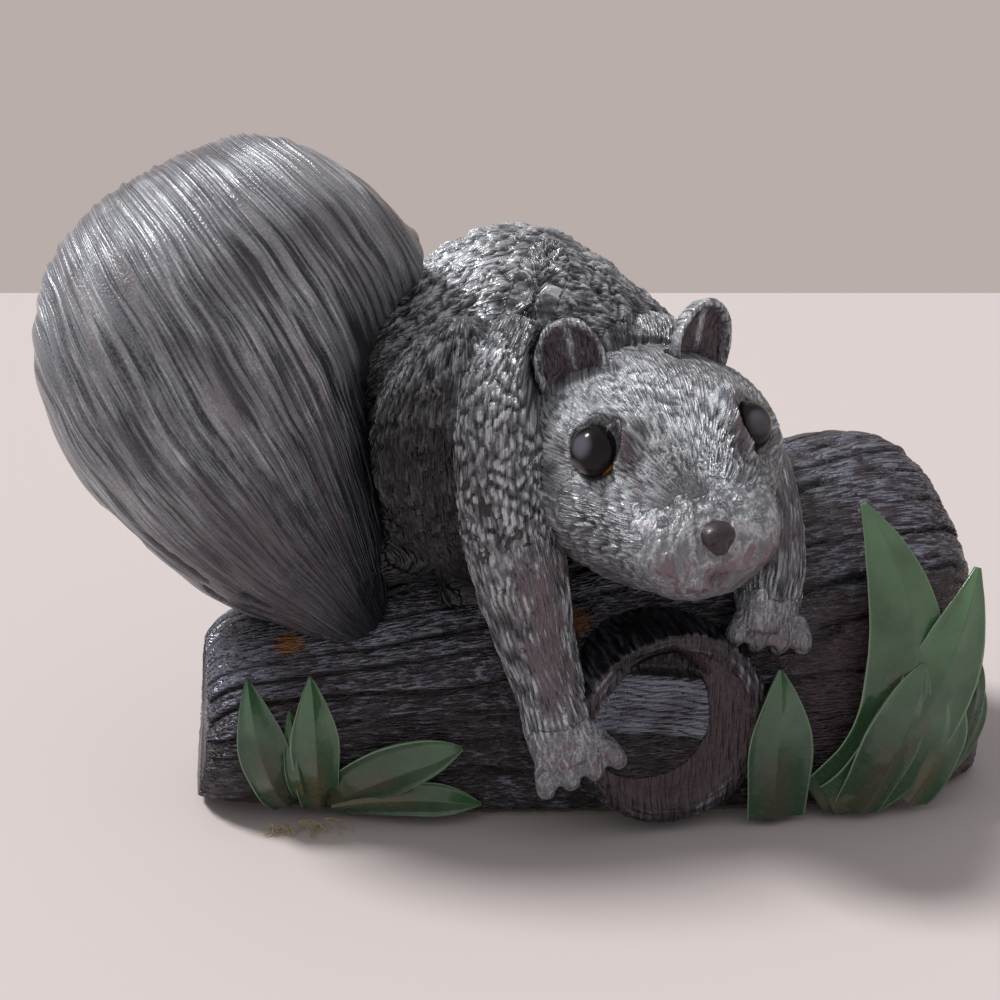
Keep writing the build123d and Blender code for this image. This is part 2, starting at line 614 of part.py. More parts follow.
def make_all():
    """Every piece under its name, each cut by the larger pieces that it lies against."""
    frame = HeadFrame()
    log = make_log()
    stub = make_stub(log)
    torso = without(make_torso(), log)
    tail = without(make_tail(), log, torso)
    head = without(make_head(frame), torso)
    parts = {"pad": make_pad(), "log": log, "branch_stub": stub, "torso": torso, "tail": tail}
    for name, side in (("right", 1), ("left", -1)):
        parts[f"eye_{name}"], parts[f"iris_{name}"], socket = make_eye(frame, side)
        head = largest(head - socket)
    parts["head"] = head
    neck = without(make_neck(frame), torso, head, log)
    parts["neck"] = neck
    parts["nose"] = without(make_nose(frame), head)
    for name, side in (("right", 1), ("left", -1)):
        parts[f"ear_{name}"] = without(make_ear(frame, side), head, neck, torso)
    for name, side in (("right", -1), ("left", 1)):
        haunch = without(make_haunch(side), torso, head, tail, log)
        parts[f"haunch_{name}"] = haunch
        parts[f"hind_foot_{name}"] = without(make_hind_foot(side), log, torso, haunch, tail)
    right, left = make_forelegs()
    trunk = (torso, head, neck, parts["ear_right"], log, stub)
    parts["foreleg_right"] = without(right, *trunk, parts["haunch_right"], parts["hind_foot_right"])
    parts["foreleg_left"] = without(left, *trunk)
    parts.update(make_cluster("right", LEAF_RIGHT_AT_X, LEAF_RIGHT_SHARES, (log, stub)))
    parts.update(make_cluster("left", LEAF_LEFT_AT_X, LEAF_LEFT_SHARES, (log,)))
    return parts


os.makedirs("parts", exist_ok=True)
for name, form in make_all().items():
    export_step(form, f"parts/{name}.step")
    print(name, round(form.volume), form.is_valid)
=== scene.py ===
import math

import bpy
import numpy as np
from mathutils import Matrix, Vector


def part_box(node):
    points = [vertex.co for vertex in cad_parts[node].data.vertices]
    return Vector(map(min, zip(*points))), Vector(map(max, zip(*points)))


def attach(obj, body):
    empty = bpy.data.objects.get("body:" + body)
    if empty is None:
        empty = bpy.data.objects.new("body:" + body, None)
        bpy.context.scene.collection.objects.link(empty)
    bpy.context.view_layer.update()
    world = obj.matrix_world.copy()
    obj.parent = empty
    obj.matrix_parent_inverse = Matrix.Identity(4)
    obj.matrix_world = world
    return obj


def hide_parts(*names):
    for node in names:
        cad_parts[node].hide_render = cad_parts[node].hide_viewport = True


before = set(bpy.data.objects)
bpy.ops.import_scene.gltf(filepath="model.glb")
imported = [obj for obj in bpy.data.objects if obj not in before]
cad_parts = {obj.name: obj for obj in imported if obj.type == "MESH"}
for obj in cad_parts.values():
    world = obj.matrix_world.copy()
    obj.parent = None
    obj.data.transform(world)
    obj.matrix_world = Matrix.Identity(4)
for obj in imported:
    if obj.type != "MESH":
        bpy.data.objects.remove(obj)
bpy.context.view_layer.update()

# A cast and painted squirrel on a log. Shapes are worked out in the model's own millimetres, and
# MM is what one of them measures in the frame, from the length of the log's box.
LOG_REACH = 163.19
log_low, log_high = (np.array(corner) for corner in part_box("log"))
MM = float(log_high[0] - log_low[0]) / LOG_REACH

# A table of shares has a row for each section, and the comment over it names the columns, which
# are shares of the form's own sizes. Where it begins with along or up, the first is how far.

# Log
LOG_LENGTH = 160.5
LOG_HALF_WIDTHS = (21.5, 41.0)
LOG_HEIGHTS = (36.0, 68.0)
LOG_WIDEST_SHARES = (0.48, 0.36)
LOG_END_SLANT_SHARE = 0.08
LOG_END_LEAN_SHARE = 0.10
# Along the log: width, height and how flat it is cut below
LOG_SHARES = np.array([
    (0.000, 0.80, 0.86, 0.30), (0.010, 0.90, 0.93, 0.32), (0.030, 0.98, 0.98, 0.36),
    (0.070, 1.01, 1.00, 0.45), (0.180, 1.00, 0.98, 0.70), (0.330, 1.03, 0.98, 0.90),
    (0.500, 1.12, 1.00, 0.94), (0.660, 1.17, 1.00, 0.95), (0.800, 1.18, 1.00, 0.95),
    (0.900, 1.08, 1.00, 0.94), (0.955, 0.97, 0.98, 0.93), (0.985, 0.86, 0.95, 0.92),
    (1.000, 0.76, 0.90, 0.90),
])

# Bark: how far round the log one radian is, the pitch and length of its two layers of fibres, the
# pitch of its plates, the pitch and length of its short creases, and how far each of these stands
# up or is cut in
BARK_GIRTH = 34
BARK_FIBRES = ((1.2, 11), (1.9, 6))
BARK_PLATE_PITCH = 7.5
BARK_CREASE_PITCH, BARK_CREASE_LENGTH = 3.1, 13
BARK_FIBRE_HEIGHT, BARK_PLATE_HEIGHT, BARK_CRACK_DEPTH, BARK_CREASE_DEPTH = 0.55, 0.5, 1.0, 0.45
BARK_SWELL, BARK_SWELL_PITCH, BARK_SINK = 0.7, 17.0, 0.3
# Its smooth patch, which fades in over these places, and where the left end's top gets a painted highlight
SMOOTH_X, SMOOTH_Y, SMOOTH_Z = (28, 44), (0, -6), (48, 38)
LEFT_HIGHLIGHT_X = (-52, -68)

# Branch stub and felt pad
STUB_AT_X = 8.0
STUB_CENTRE_HEIGHT = 21.8
STUB_RADIUS = 20.0
STUB_PROUD = 2.6
# Its profile: shares of its reach and radius down its side, then how far back from its face each
# ring lies and its share of the radius
STUB_SIDE_SHARES = ((0.45, 1.04), (0.80, 1.03), (0.93, 1.00), (0.98, 0.985))
STUB_FACE = (
    (0.3, 0.955), (0.0, 0.90), (0.1, 0.84), (0.5, 0.77), (0.9, 0.66), (1.2, 0.45), (1.4, 0.20), (1.4, 0.05),
)
PAD_THICKNESS = 1.5
PAD_INSET = 1.6
# The pad's soft edge: heights, and how far it swells there; and how much of its box it fills
PAD_LEVELS = ((0.02, -0.2), (0.3, 0.1), (0.75, 0.25), (1.2, 0.1), (PAD_THICKNESS - 0.02, -0.2))

# Torso
TORSO_BACK_X = -46.5
TORSO = np.array((80.0, 54.0, 65.0))
TORSO_SINK = 3.0
# Along the torso: how near and how high its middle is, half its width, its rise and its drop
TORSO_SHARES = [
    (0.000, -0.03, 0.340, 0.240, 0.280, 0.320), (0.050, -0.03, 0.370, 0.350, 0.380, 0.390),
    (0.175, -0.03, 0.420, 0.430, 0.450, 0.440), (0.325, -0.03, 0.450, 0.470, 0.535, 0.420),
    (0.475, -0.02, 0.465, 0.490, 0.535, 0.460), (0.625, 0.00, 0.465, 0.463, 0.450, 0.430),
    (0.775, 0.04, 0.450, 0.390, 0.318, 0.350), (0.890, 0.08, 0.434, 0.290, 0.200, 0.260),
    (1.000, 0.11, 0.420, 0.120, 0.080, 0.110),
]

# Head and neck
HEAD_PLACE_SHARES = (0.656, 0.610, 0.390)
HEAD_YAW, HEAD_PITCH, HEAD_ROLL = (math.radians(turn) for turn in (1.5, 7.5, -5.0))
HEAD_LENGTH, HEAD_WIDTH, HEAD_HEIGHT = 55.0, 50.0, 40.0
HEAD_BACK_SHARE = 0.44
# Along the head: how high its middle is, half its width, its rise and its drop
HEAD_SHARES = [
    (0.000, 0.060, 0.160, 0.180, 0.200), (0.080, 0.040, 0.350, 0.330, 0.380),
    (0.220, 0.010, 0.480, 0.430, 0.500), (0.380, -0.010, 0.525, 0.450, 0.560),
    (0.520, -0.030, 0.490, 0.430, 0.560), (0.640, -0.065, 0.405, 0.385, 0.505),
    (0.750, -0.105, 0.335, 0.310, 0.425), (0.850, -0.135, 0.285, 0.240, 0.355),
    (0.940, -0.150, 0.220, 0.180, 0.290), (1.000, -0.165, 0.120, 0.100, 0.180),
]
# Swellings and hollows on the head: their height in mm, where they lie along, aside and up, and
# how long, wide and tall they are, in shares of the head: the brow over the eye and before it, the
# hollow between the brows, the whisker pad and its front, the nose's bridge, the groove under the
# nose and the hollow under the lip
HEAD_SWELLINGS = (
    (1.5, (0.52, 0.25, 0.34), (0.12, 0.06, 0.09)), (1.3, (0.66, 0.185, 0.27), (0.09, 0.045, 0.08)),
    (-1.2, (0.60, 0.0, 0.34), (0.17, 0.14, 0.14)), (1.9, (0.87, 0.20, -0.14), (0.17, 0.10, 0.17)),
    (1.2, (0.93, 0.14, -0.20), (0.08, 0.09, 0.10)), (0.5, (0.80, 0.0, 0.14), (0.24, 0.07, 0.10)),
    (-0.9, (0.985, 0.0, -0.30), (0.05, 0.022, 0.06)), (-1.0, (0.94, 0.0, -0.47), (0.08, 0.11, 0.09)),
)
# Bare pink skin on the whisker pads and under the nose, in the same way, with its share first
HEAD_PINKS = (
    (0.85, (0.965, 0.16, -0.20), (0.10, 0.07, 0.07)), (0.95, (1.0, 0.02, -0.27), (0.10, 0.05, 0.06)),
)
NECK_ROOT_SHARES = (0.15, 0.05)
NECK_WIDTH_SHARE, NECK_HEIGHT_SHARE = 0.96, 1.05
# Along the neck: its size
NECK_SHARES = [(0.00, 0.96), (0.35, 1.02), (0.70, 1.00), (1.00, 0.90)]

# Eyes, ears and nose
EYE_DIAMETER = 10.0
EYE_SHARES = (0.615, 0.305, 0.180)
EYE_OUTWARD, EYE_UPWARD = math.radians(56.0), math.radians(12.0)
EYE_SEAT_DEPTH = 4.0
EYE_BULGE_SHARE = 0.86
EYE_SHOWN_SHARE = 0.93
# Lids: the radius of their edge and how much less it is beside the nose, how steep they are on the
# outer side and beside the nose, how far from the eye's axis they fade out, and the socket's depth
LID_RADIUS, LID_NARROWER = 4.45, 0.35
LID_SLOPES = (0.35, 2.6)
LID_FADE = (12.5, 8.5)
SOCKET_DEPTH = 2.6
EAR_WIDTH, EAR_HEIGHT = 14.5, 18.0
EAR_THICKNESS = 4.2
EAR_CUP_DEPTH = 2.2
EAR_LIFT = 4.6
EAR_SHARES = (0.29, 0.255, 0.320)
EAR_TILT_OUT, EAR_TURN_OUT = math.radians(8.0), math.radians(18.0)
NOSE_WIDTH, NOSE_HEIGHT, NOSE_DEPTH = 7.0, 6.2, 4.6
NOSE_HEIGHT_SHARE = -0.095

# Tail
TAIL_AT = (-107.0, -5.0)
TAIL_LENGTH, TAIL_HEIGHT, TAIL_HALF_WIDTH = 77.0, 100.0, 27.0
TAIL_SINK = 13.5
# The fan of its fur: where its middle is along the tail and under its foot, and in degrees the turn
# of its middle lane and its spread
TAIL_FAN_SHARE, TAIL_FAN_DEPTH = 0.86, 4
TAIL_FAN_TURN, TAIL_FAN_SPREAD = 118, 30
# Lanes over that spread and strokes over the tail's height, of its fur, its locks and its gouges,
# and how far each stands up or is cut in
TAIL_FUR, TAIL_LOCKS, TAIL_GOUGES = (8.5, 2.6), (4, 1.9), (7, 5.0)
TAIL_FUR_HEIGHT, TAIL_LOCK_HEIGHT, TAIL_GOUGE_DEPTH = 0.75, 0.25, 0.9
# Round the fan: the inner point's place and height, the outer point's, and the width
TAIL_SHARES = [
    (0.860, 0.010, 0.700, 0.000, 0.36), (0.862, 0.130, 0.400, 0.120, 0.62),
    (0.855, 0.260, 0.170, 0.300, 0.82), (0.840, 0.370, 0.045, 0.460, 0.94),
    (0.820, 0.470, 0.005, 0.600, 1.00), (0.815, 0.550, 0.060, 0.780, 1.00),
    (0.835, 0.610, 0.240, 0.915, 0.97), (0.870, 0.660, 0.520, 1.000, 0.86),
    (0.905, 0.690, 0.760, 0.945, 0.64), (0.940, 0.710, 0.945, 0.820, 0.32),
]

# Legs and feet
FORELEG_WIDTH = 17.0
RIGHT_SHOULDER_SHARES = (0.356, 0.390, 0.755)
RIGHT_FORWARD, RIGHT_PAW_HEIGHT = 11.0, 16.0
# From the shoulder to the paw: how far along X, Y and Z, half the width, the rise and the drop
RIGHT_SHARES = [
    (0.14, 0.00, 0.000, 0.30, 0.26, 0.30), (-0.35, 0.27, 0.120, 0.50, 0.44, 0.50),
    (-0.47, 0.45, 0.260, 0.55, 0.46, 0.55), (-0.44, 0.53, 0.410, 0.53, 0.42, 0.60),
    (-0.21, 0.58, 0.560, 0.53, 0.40, 0.65), (0.04, 0.59, 0.710, 0.44, 0.38, 0.60),
    (0.25, 0.68, 0.820, 0.40, 0.36, 0.60), (0.39, 0.83, 0.895, 0.44, 0.30, 0.60),
    (0.47, 0.95, 0.945, 0.44, 0.24, 0.50), (0.55, 1.02, 0.980, 0.38, 0.19, 0.32),
]
LEFT_SHOULDER_SHARES = (0.806, -0.260, 0.540)
LEFT_FORWARD = 16.5
LEFT_PAW_SHARES = (0.90, 0.64)
LEFT_SHARES = [
    (-0.30, 0.00, 0.00, 0.34, 0.30, 0.34), (0.30, 0.06, 0.08, 0.50, 0.44, 0.50),
    (0.80, 0.22, 0.20, 0.50, 0.42, 0.50), (1.00, 0.42, 0.30, 0.46, 0.36, 0.50),
    (1.02, 0.62, 0.42, 0.42, 0.34, 0.55), (0.95, 0.80, 0.58, 0.42, 0.30, 0.60),
    (0.80, 0.94, 0.76, 0.46, 0.26, 0.50), (0.70, 1.00, 0.90, 0.46, 0.20, 0.40),
    (0.64, 1.02, 1.00, 0.40, 0.16, 0.30),
]
TOE_COUNT = 4
TOE_LENGTH, TOE_RADIUS, TOE_PITCH = 8.0, 2.1, 3.6
TOE_SPREAD = 13.0
TOE_ROOT_SHARE = 0.45
# Along a toe: its radius and how far its middle rises
TOE_SHARES = [
    (0.00, 0.80, 0.00), (0.35, 1.00, 0.25), (0.70, 0.95, 0.30), (0.92, 0.70, 0.10), (1.00, 0.35, -0.10),
]
# The web between the toes: where along the paw it starts and ends, and its half widths and drop
WEB_REACH, WEB_HALF_WIDTHS, WEB_DROP, WEB_STEPS = (-4.0, 2.6), (6.4, 7.3), 1.2, 12
HAUNCH_PLACE_SHARES = (0.012, 0.390, -0.010)
HAUNCH = np.array((0.425, 0.370, 0.800)) * TORSO
# Up a haunch: how far forward its middle is, half its length and half its width
HAUNCH_SHARES = [
    (0.00, 0.66, 0.14, 0.22), (0.08, 0.60, 0.30, 0.38), (0.25, 0.54, 0.43, 0.47),
    (0.45, 0.50, 0.50, 0.50), (0.65, 0.49, 0.49, 0.47), (0.83, 0.50, 0.38, 0.36),
    (0.95, 0.50, 0.22, 0.22), (1.00, 0.50, 0.08, 0.09),
]
FOOT_PLACE_SHARES = (0.194, 0.200)
FOOT_LENGTH, FOOT_WIDTH, FOOT_HEIGHT, FOOT_SINK = 20.0, 10.8, 13.0, 4.0
FOOT_SPLAY = math.radians(24.0)
# Along a foot: half its width, and its height
FOOT_SHARES = [
    (0.00, 0.22, 0.75), (0.12, 0.42, 1.00), (0.35, 0.50, 0.85), (0.65, 0.47, 0.50), (1.00, 0.40, 0.30),
]

# Leaves
LEAF_REACH = 60.0
LEAF_ROOT_DEPTH = 9.0
LEAF_FOLD = 0.9
# Along a leaf: its width
LEAF_OUTLINE_SHARES = [
    (0.00, 0.70), (0.15, 0.83), (0.35, 0.96), (0.55, 1.00), (0.72, 0.86), (0.87, 0.52), (1.00, 0.06),
]
LEAF_AT_X = {"right": 42.0, "left": -58.0}
# Each leaf's root, middle and tip, along, out and up, and half its width
LEAF_SHARES = {
    "right": [
        ((0.24, 0.060, 0.02), (0.335, 0.080, 0.23), (0.350, 0.060, 0.47), 0.098),
        ((0.05, 0.060, 0.02), (0.15, 0.090, 0.26), (0.270, 0.070, 0.51), 0.108),
        ((-0.02, 0.045, 0.02), (0.25, 0.080, 0.30), (0.485, 0.050, 0.80), 0.145),
        ((-0.22, 0.045, -0.12), (-0.21, 0.065, 0.19), (-0.205, 0.030, 0.51), 0.112),
        ((-0.05, 0.020, 0.02), (0.210, 0.050, 0.45), (0.105, -0.120, 1.02), 0.150),
        ((0.40, 0.010, 0.04), (0.49, 0.040, 0.26), (0.520, 0.020, 0.50), 0.050),
        ((0.42, -0.020, 0.04), (0.55, 0.010, 0.20), (0.575, 0.000, 0.38), 0.045),
    ],
    "left": [
        ((0.00, -0.100, 0.03), (-0.025, 0.040, 0.27), (-0.03, 0.020, 0.53), 0.078),
        ((0.03, -0.090, 0.05), (0.21, 0.050, 0.20), (0.445, 0.040, 0.265), 0.092),
        ((0.05, -0.080, 0.03), (0.28, 0.010, 0.08), (0.520, -0.015, 0.035), 0.060),
        ((-0.09, -0.140, 0.03), (-0.175, 0.020, 0.24), (-0.220, -0.040, 0.51), 0.080),
        ((-0.04, -0.120, 0.05), (-0.08, 0.010, 0.20), (-0.095, -0.020, 0.40), 0.040),
    ],
}

# Frayed fibres of the felt before the left leaves
WISP_COUNT = 22
WISP_X = (-69.0, -56.0)
WISP_RADIUS = 0.16

# Fur: how far apart its tufts are, how long they are and how far they curl; how high they stand;
# and the share of a tuft that lies level with the skin
BODY_TUFTS, BODY_HAIRS = (2.2, 6.5, 5.0), (1.4, 4.0, 3.0)
HEAD_FUR = (1.6, 4.6, 2.6)
FORELEG_STROKES, FORELEG_SCALES = (1.5, 9.0, 1.2), (1.9, 3.6, 2.2)
BODY_TUFT_HEIGHT, BODY_HAIR_HEIGHT, HEAD_FUR_HEIGHT, FORELEG_FUR_HEIGHT = 1.35, 0.45, 0.52, 0.65
LEVEL_FUR = 0.42

# Skins rebuilt as one: the size of their voxels, and how often they are eased
BODY_SKIN, HEAD_SKIN, FORELEG_SKIN = (0.54, 10), (0.362, 16), (0.34, 8)

# A rump between the haunches that fills the body's skin: where along X it starts and ends, how far
# its middle is over the seat, and its half width, rise and drop; and the rows of the right foreleg
# that the body's skin takes in as a shoulder
RUMP_X, RUMP_LIFT, RUMP_SIZES = (-47.0, -22.0), 3, (15.0, 10.0, 9.0)
SHOULDER_ROWS = 36

# How fine the other skins are: steps between a table's rows, points round a section, and rings on
# an end face; and the row at which the stub's face and the ear's cup start
LOG_STEPS, LOG_SIDES, LOG_END_RINGS = 16, 430, 12
STUB_STEPS, STUB_SIDES, STUB_FACE_ROW = 26, 300, 4
EAR_STEPS, EAR_SIDES, EAR_RIM_ROW = 10, 160, 6
TAIL_STEPS, TAIL_SIDES, TAIL_END_RINGS = 54, 196, 2
PAD_STEPS, PAD_END_RINGS = 160, 10
WISP_STEPS, WISP_SIDES = 12, 6
# A leaf's steps along, points across its front, and points across its back with both edges
LEAF_STEPS, LEAF_ACROSS, LEAF_UNDER = 12, 37, 7

# Painted highlight: the sides that face up and to the tail, the way the main light comes from, are painted
# lighter
LIT_WAY = np.array((-0.45, 0.0, 0.9))

X, Y, Z = np.eye(3)


# Numbers and patterns

def unit(vectors):
    """Vectors of the same directions and length 1."""
    return vectors / np.linalg.norm(vectors, axis=-1, keepdims=True)


def mixed(low, high, share):
    """The first number plus a share of the way to the second."""
    return low + (high - low) * share


def smooth(low, high, value):
    """0 below low, 1 above high, and an S curve between."""
    share = np.clip((value - low) / (high - low), 0, 1)
    return share * share * (3 - 2 * share)


def eased(rows, steps):
    """Rows of a table with others between them, on a Catmull-Rom curve through all of them."""
    rows = np.array(rows, float)
    last = len(rows) - 1
    place = np.arange(last * steps + 1) / steps
    at = np.minimum(place.astype(int), last - 1)
    t = (place - at)[:, None]
    before, here, after = rows[np.maximum(at - 1, 0)], rows[at], rows[at + 1]
    beyond = rows[np.minimum(at + 2, last)]
    bend = before - 2.5 * here + 2 * after - beyond / 2
    twist = 1.5 * (here - after) + (beyond - before) / 2
    return here + t * ((after - before) / 2 + t * (bend + t * twist))


def chance(*cells):
    """A repeatable number from 0 to 1 for each cell of a lattice."""
    wave = np.sin(sum(cell * step for cell, step in zip(cells, (127.1, 311.7, 74.7, 19.3)))) * 43758.5453
    return wave - np.floor(wave)


def noise(points, scale, seed):
    """Value noise in space, 0 to 1: chances at the corners of cubes of that scale, eased between."""
    at = points / scale
    low = np.floor(at)
    t = at - low
    t = t * t * (3 - 2 * t)
    total = 0
    for corner in np.ndindex(2, 2, 2):
        weight = np.prod(np.where(corner, t, 1 - t), axis=-1)
        cell = low + corner
        total = total + weight * chance(cell[..., 0], cell[..., 1], cell[..., 2], seed)
    return total


def fractal(points, scale, seed):
    """Two octaves of value noise, -1 to 1."""
    return (2 * noise(points, scale, seed) + noise(points, scale / 2.3, seed + 5)) * 2 / 3 - 1


def strokes(lane, run, seed):
    """Combed tufts, 0 to 1: lanes side by side, each broken along its run into strokes that swell
    and taper; the higher of two such layers."""
    best = 0
    for layer in range(2):
        shifted = lane * (1 + 0.31 * layer) + 0.5 * layer
        cell = np.floor(shifted)
        place = run * (1 + 0.23 * layer) + chance(cell, seed + layer) * 7
        part = np.floor(place)
        along = place - part
        size = 0.4 + 0.6 * chance(cell, part, seed + 3 + layer)
        ridge = np.sin(np.pi * (shifted - cell)) ** 0.8
        best = np.maximum(best, size * ridge * smooth(0, 0.25, along) * smooth(1, 0.45, along))
    return best


# Forms

def rings(centres, across, up, half, rise, drop, sides):
    """Closed sections, one a row: centre + across half cos(turn) + up rise or drop sin(turn), where
    rise holds above the centre and drop below it."""
    turn = 2 * np.pi * np.arange(sides) / sides
    count = len(centres)
    across, up = (np.broadcast_to(way, (count, 3))[:, None] for way in (across, up))
    half, rise, drop = (np.broadcast_to(size, count)[:, None] for size in (half, rise, drop))
    lift = np.where(np.sin(turn) > 0, rise, drop) * np.sin(turn)
    return centres[:, None] + across * (half * np.cos(turn))[..., None] + up * lift[..., None]


class Form:
    """A form made of sections along a path, and the way its fur runs."""

    def __init__(self, centres, across, up, half, rise, drop, sides=96):
        """The sections, how far along the path each is, and the path's way there."""
        count = len(centres)
        self.centres = centres
        self.across = np.array(np.broadcast_to(across, (count, 3)))
        self.up = np.array(np.broadcast_to(up, (count, 3)))
        sizes = (np.array(np.broadcast_to(size, count)) for size in (half, rise, drop))
        self.half, self.rise, self.drop = sizes
        self.grid = rings(centres, self.across, self.up, self.half, self.rise, self.drop, sides)
        steps = np.linalg.norm(np.diff(centres, axis=0), axis=1)
        self.length = np.concatenate([[0], np.cumsum(steps)])
        self.tangent = unit(np.gradient(centres, axis=0))

    def flow(self, points):
        """For each point: how far along the path it is, its turn about it, and how far out it is in
        shares of the section there."""
        apart = (points ** 2).sum(1)[:, None] + (self.centres ** 2).sum(1) - 2 * points @ self.centres.T
        near = apart.argmin(1)
        rel = points - self.centres[near]
        ahead = (rel * self.tangent[near]).sum(1)
        rel = rel - self.tangent[near] * ahead[:, None]
        x = (rel * self.across[near]).sum(1) / self.half[near]
        y = (rel * self.up[near]).sum(1)
        y = y / np.where(y > 0, self.rise[near], self.drop[near])
        return self.length[near] + ahead, np.arctan2(y, x), np.hypot(x, y)


def capped(grid, steps=1):
    """A closed skin: quads between the sections, and each end filled by sections that shrink to a
    pole in its middle. Returns points and faces."""
    near, far = (grid[end].mean(0) for end in (0, -1))
    shrink = (np.arange(steps) / steps)[1:, None, None]
    inner = near + (grid[0] - near) * shrink
    outer = far + (grid[-1] - far) * shrink[::-1]
    grid = np.concatenate([inner, grid, outer])
    count, sides = grid.shape[:2]
    corner = np.arange(count * sides).reshape(count, sides)
    after = np.roll(corner, -1, axis=1)
    quads = np.stack([corner[:-1], after[:-1], after[1:], corner[1:]], -1).reshape(-1, 4)
    poles = count * sides + np.arange(2)
    first = np.stack([np.full(sides, poles[0]), after[0], corner[0]], -1)
    last = np.stack([np.full(sides, poles[1]), corner[-1], after[-1]], -1)
    points = np.concatenate([grid.reshape(-1, 3), [near, far]])
    faces = quads.tolist() + first.tolist() + last.tolist()
    return outward(points, faces, np.concatenate([quads[:, :3], quads[:, [0, 2, 3]], first, last]))


def over_ends(values, near=None, far=None, steps=1):
    """Values of sections' points carried to the skin that capped makes of them: one value over each
    end face, or else the mean of that end's section."""
    if near is None:
        near, far = values[0].mean(0), values[-1].mean(0)
    rim, shape = (steps - 1) * values.shape[1], values.shape[2:]
    near_face, far_face, near_pole, far_pole = (
        np.broadcast_to(end, (count, *shape))
        for end, count in ((near, rim), (far, rim), (near, 1), (far, 1)))
    return np.concatenate([near_face, values.reshape(-1, *shape), far_face, near_pole, far_pole])


def outward(points, faces, triangles):
    """The faces turned so that the skin's volume, the sum of its triangles' wedges, is positive."""
    a, b, c = (points[triangles[:, k]] for k in range(3))
    if np.einsum("ij,ij->i", a, np.cross(b, c)).sum() < 0:
        faces = [face[::-1] for face in faces]
    return points, faces


def make_object(name, points, faces):
    """A smooth-shaded object from points in the model's millimetres."""
    mesh = bpy.data.meshes.new(name)
    mesh.from_pydata((points * MM).tolist(), [], faces)
    mesh.shade_smooth()
    thing = bpy.data.objects.new(name, mesh)
    bpy.context.collection.objects.link(thing)
    return thing


def merged(name, skins, voxel, passes):
    """One skin round several closed ones: rebuilt from a level set at the voxel's size, then eased
    by the mean of its neighbours."""
    points, faces, start = [], [], 0
    for some_points, some_faces in skins:
        points.append(some_points)
        faces += [[corner + start for corner in face] for face in some_faces]
        start += len(some_points)
    rough = make_object(name + "_rough", np.concatenate(points), faces)
    remesh = rough.modifiers.new("skin", "REMESH")
    remesh.mode = "VOXEL"
    remesh.voxel_size = voxel * MM
    ease = rough.modifiers.new("ease", "SMOOTH")
    ease.factor = 0.5
    ease.iterations = passes
    ready = rough.evaluated_get(bpy.context.evaluated_depsgraph_get())
    mesh = bpy.data.meshes.new_from_object(ready)
    mesh.name = name
    mesh.shade_smooth()
    bpy.data.objects.remove(rough)
    thing = bpy.data.objects.new(name, mesh)
    bpy.context.collection.objects.link(thing)
    return thing


def points_of(thing):
    """A piece's points, in the model's millimetres."""
    flat = np.empty(len(thing.data.vertices) * 3, np.float32)
    thing.data.vertices.foreach_get("co", flat)
    return flat.reshape(-1, 3).astype(float) / MM


def normals_of(thing):
    """The unit normals at a piece's points."""
    flat = np.empty(len(thing.data.vertices) * 3, np.float32)
    thing.data.vertex_normals.foreach_get("vector", flat)
    return flat.reshape(-1, 3).astype(float)


def place_points(thing, points):
    """Moves a piece's points to places in the model's millimetres."""
    thing.data.vertices.foreach_set("co", (points * MM).astype(np.float32).ravel())
    thing.data.update()


def mark(thing, **values):
    """Stores a number or a place for each point under each name, for the paints to read."""
    count = len(thing.data.vertices)
    for name, value in values.items():
        value = np.asarray(value)
        if value.ndim == 2:
            layer = thing.data.attributes.new(name, "FLOAT_VECTOR", "POINT")
            layer.data.foreach_set("vector", np.ascontiguousarray(value, np.float32).ravel())
        else:
            layer = thing.data.attributes.new(name, "FLOAT", "POINT")
            layer.data.foreach_set("value", np.ascontiguousarray(np.broadcast_to(value, count), np.float32))


# Paints

def linear(code):
    """A linear colour from an sRGB hex code: each part over 12.92 where it is dark, and otherwise
    the power of 2.4."""
    parts = [int(code[at:at + 2], 16) / 255 for at in (0, 2, 4)]
    linear_parts = (
        part / 12.92 if part <= 0.04045 else ((part + 0.055) / 1.055) ** 2.4 for part in parts)
    return (*linear_parts, 1)


def add(tree, kind, inputs=None, output=0, **settings):
    """Adds a node, gives it its settings, fills or joins its inputs, and returns one output."""
    node = tree.nodes.new("ShaderNode" + kind)
    for key, value in settings.items():
        setattr(node, key, value)
    for key, value in (inputs or {}).items():
        if isinstance(value, bpy.types.NodeSocket):
            tree.links.new(value, node.inputs[key])
        else:
            node.inputs[key].default_value = value
    return node.outputs[output] if node.outputs else None


# Settings of a mix of two colours, whose sockets are 0, 6 and 7 and whose result is 2, and of a
# range that rises on an S curve
COLOURS = {"data_type": "RGBA"}
S_CURVE = {"interpolation_type": "SMOOTHSTEP"}


def new_material(name):
    """An empty material and its node tree."""
    material = bpy.data.materials.new(name)
    material.use_nodes = True
    material.node_tree.nodes.clear()
    return material, material.node_tree


def grain(tree, size, detail=3.0):
    """Noise in the object's own space, with features of that size in millimetres."""
    where = add(tree, "TexCoord", output="Object")
    return add(tree, "TexNoise", {"Vector": where, "Scale": 1 / (size * MM), "Detail": detail})


def combed(tree, width, length, crisp):
    """Hair-like noise along the comb, with hairs of that width and length in millimetres; the
    smaller crisp is, the sharper they are."""
    where = add(tree, "Attribute", output="Vector", attribute_name="comb")
    where = add(tree, "Mapping", {"Vector": where, "Scale": (1 / width, 1 / width, 1 / length)})
    hairs = add(tree, "TexNoise", {"Vector": where, "Scale": 1.0, "Detail": 2.0})
    keys = {"Value": hairs, "From Min": 0.5 - crisp, "From Max": 0.5 + crisp}
    return add(tree, "MapRange", keys, **S_CURVE)


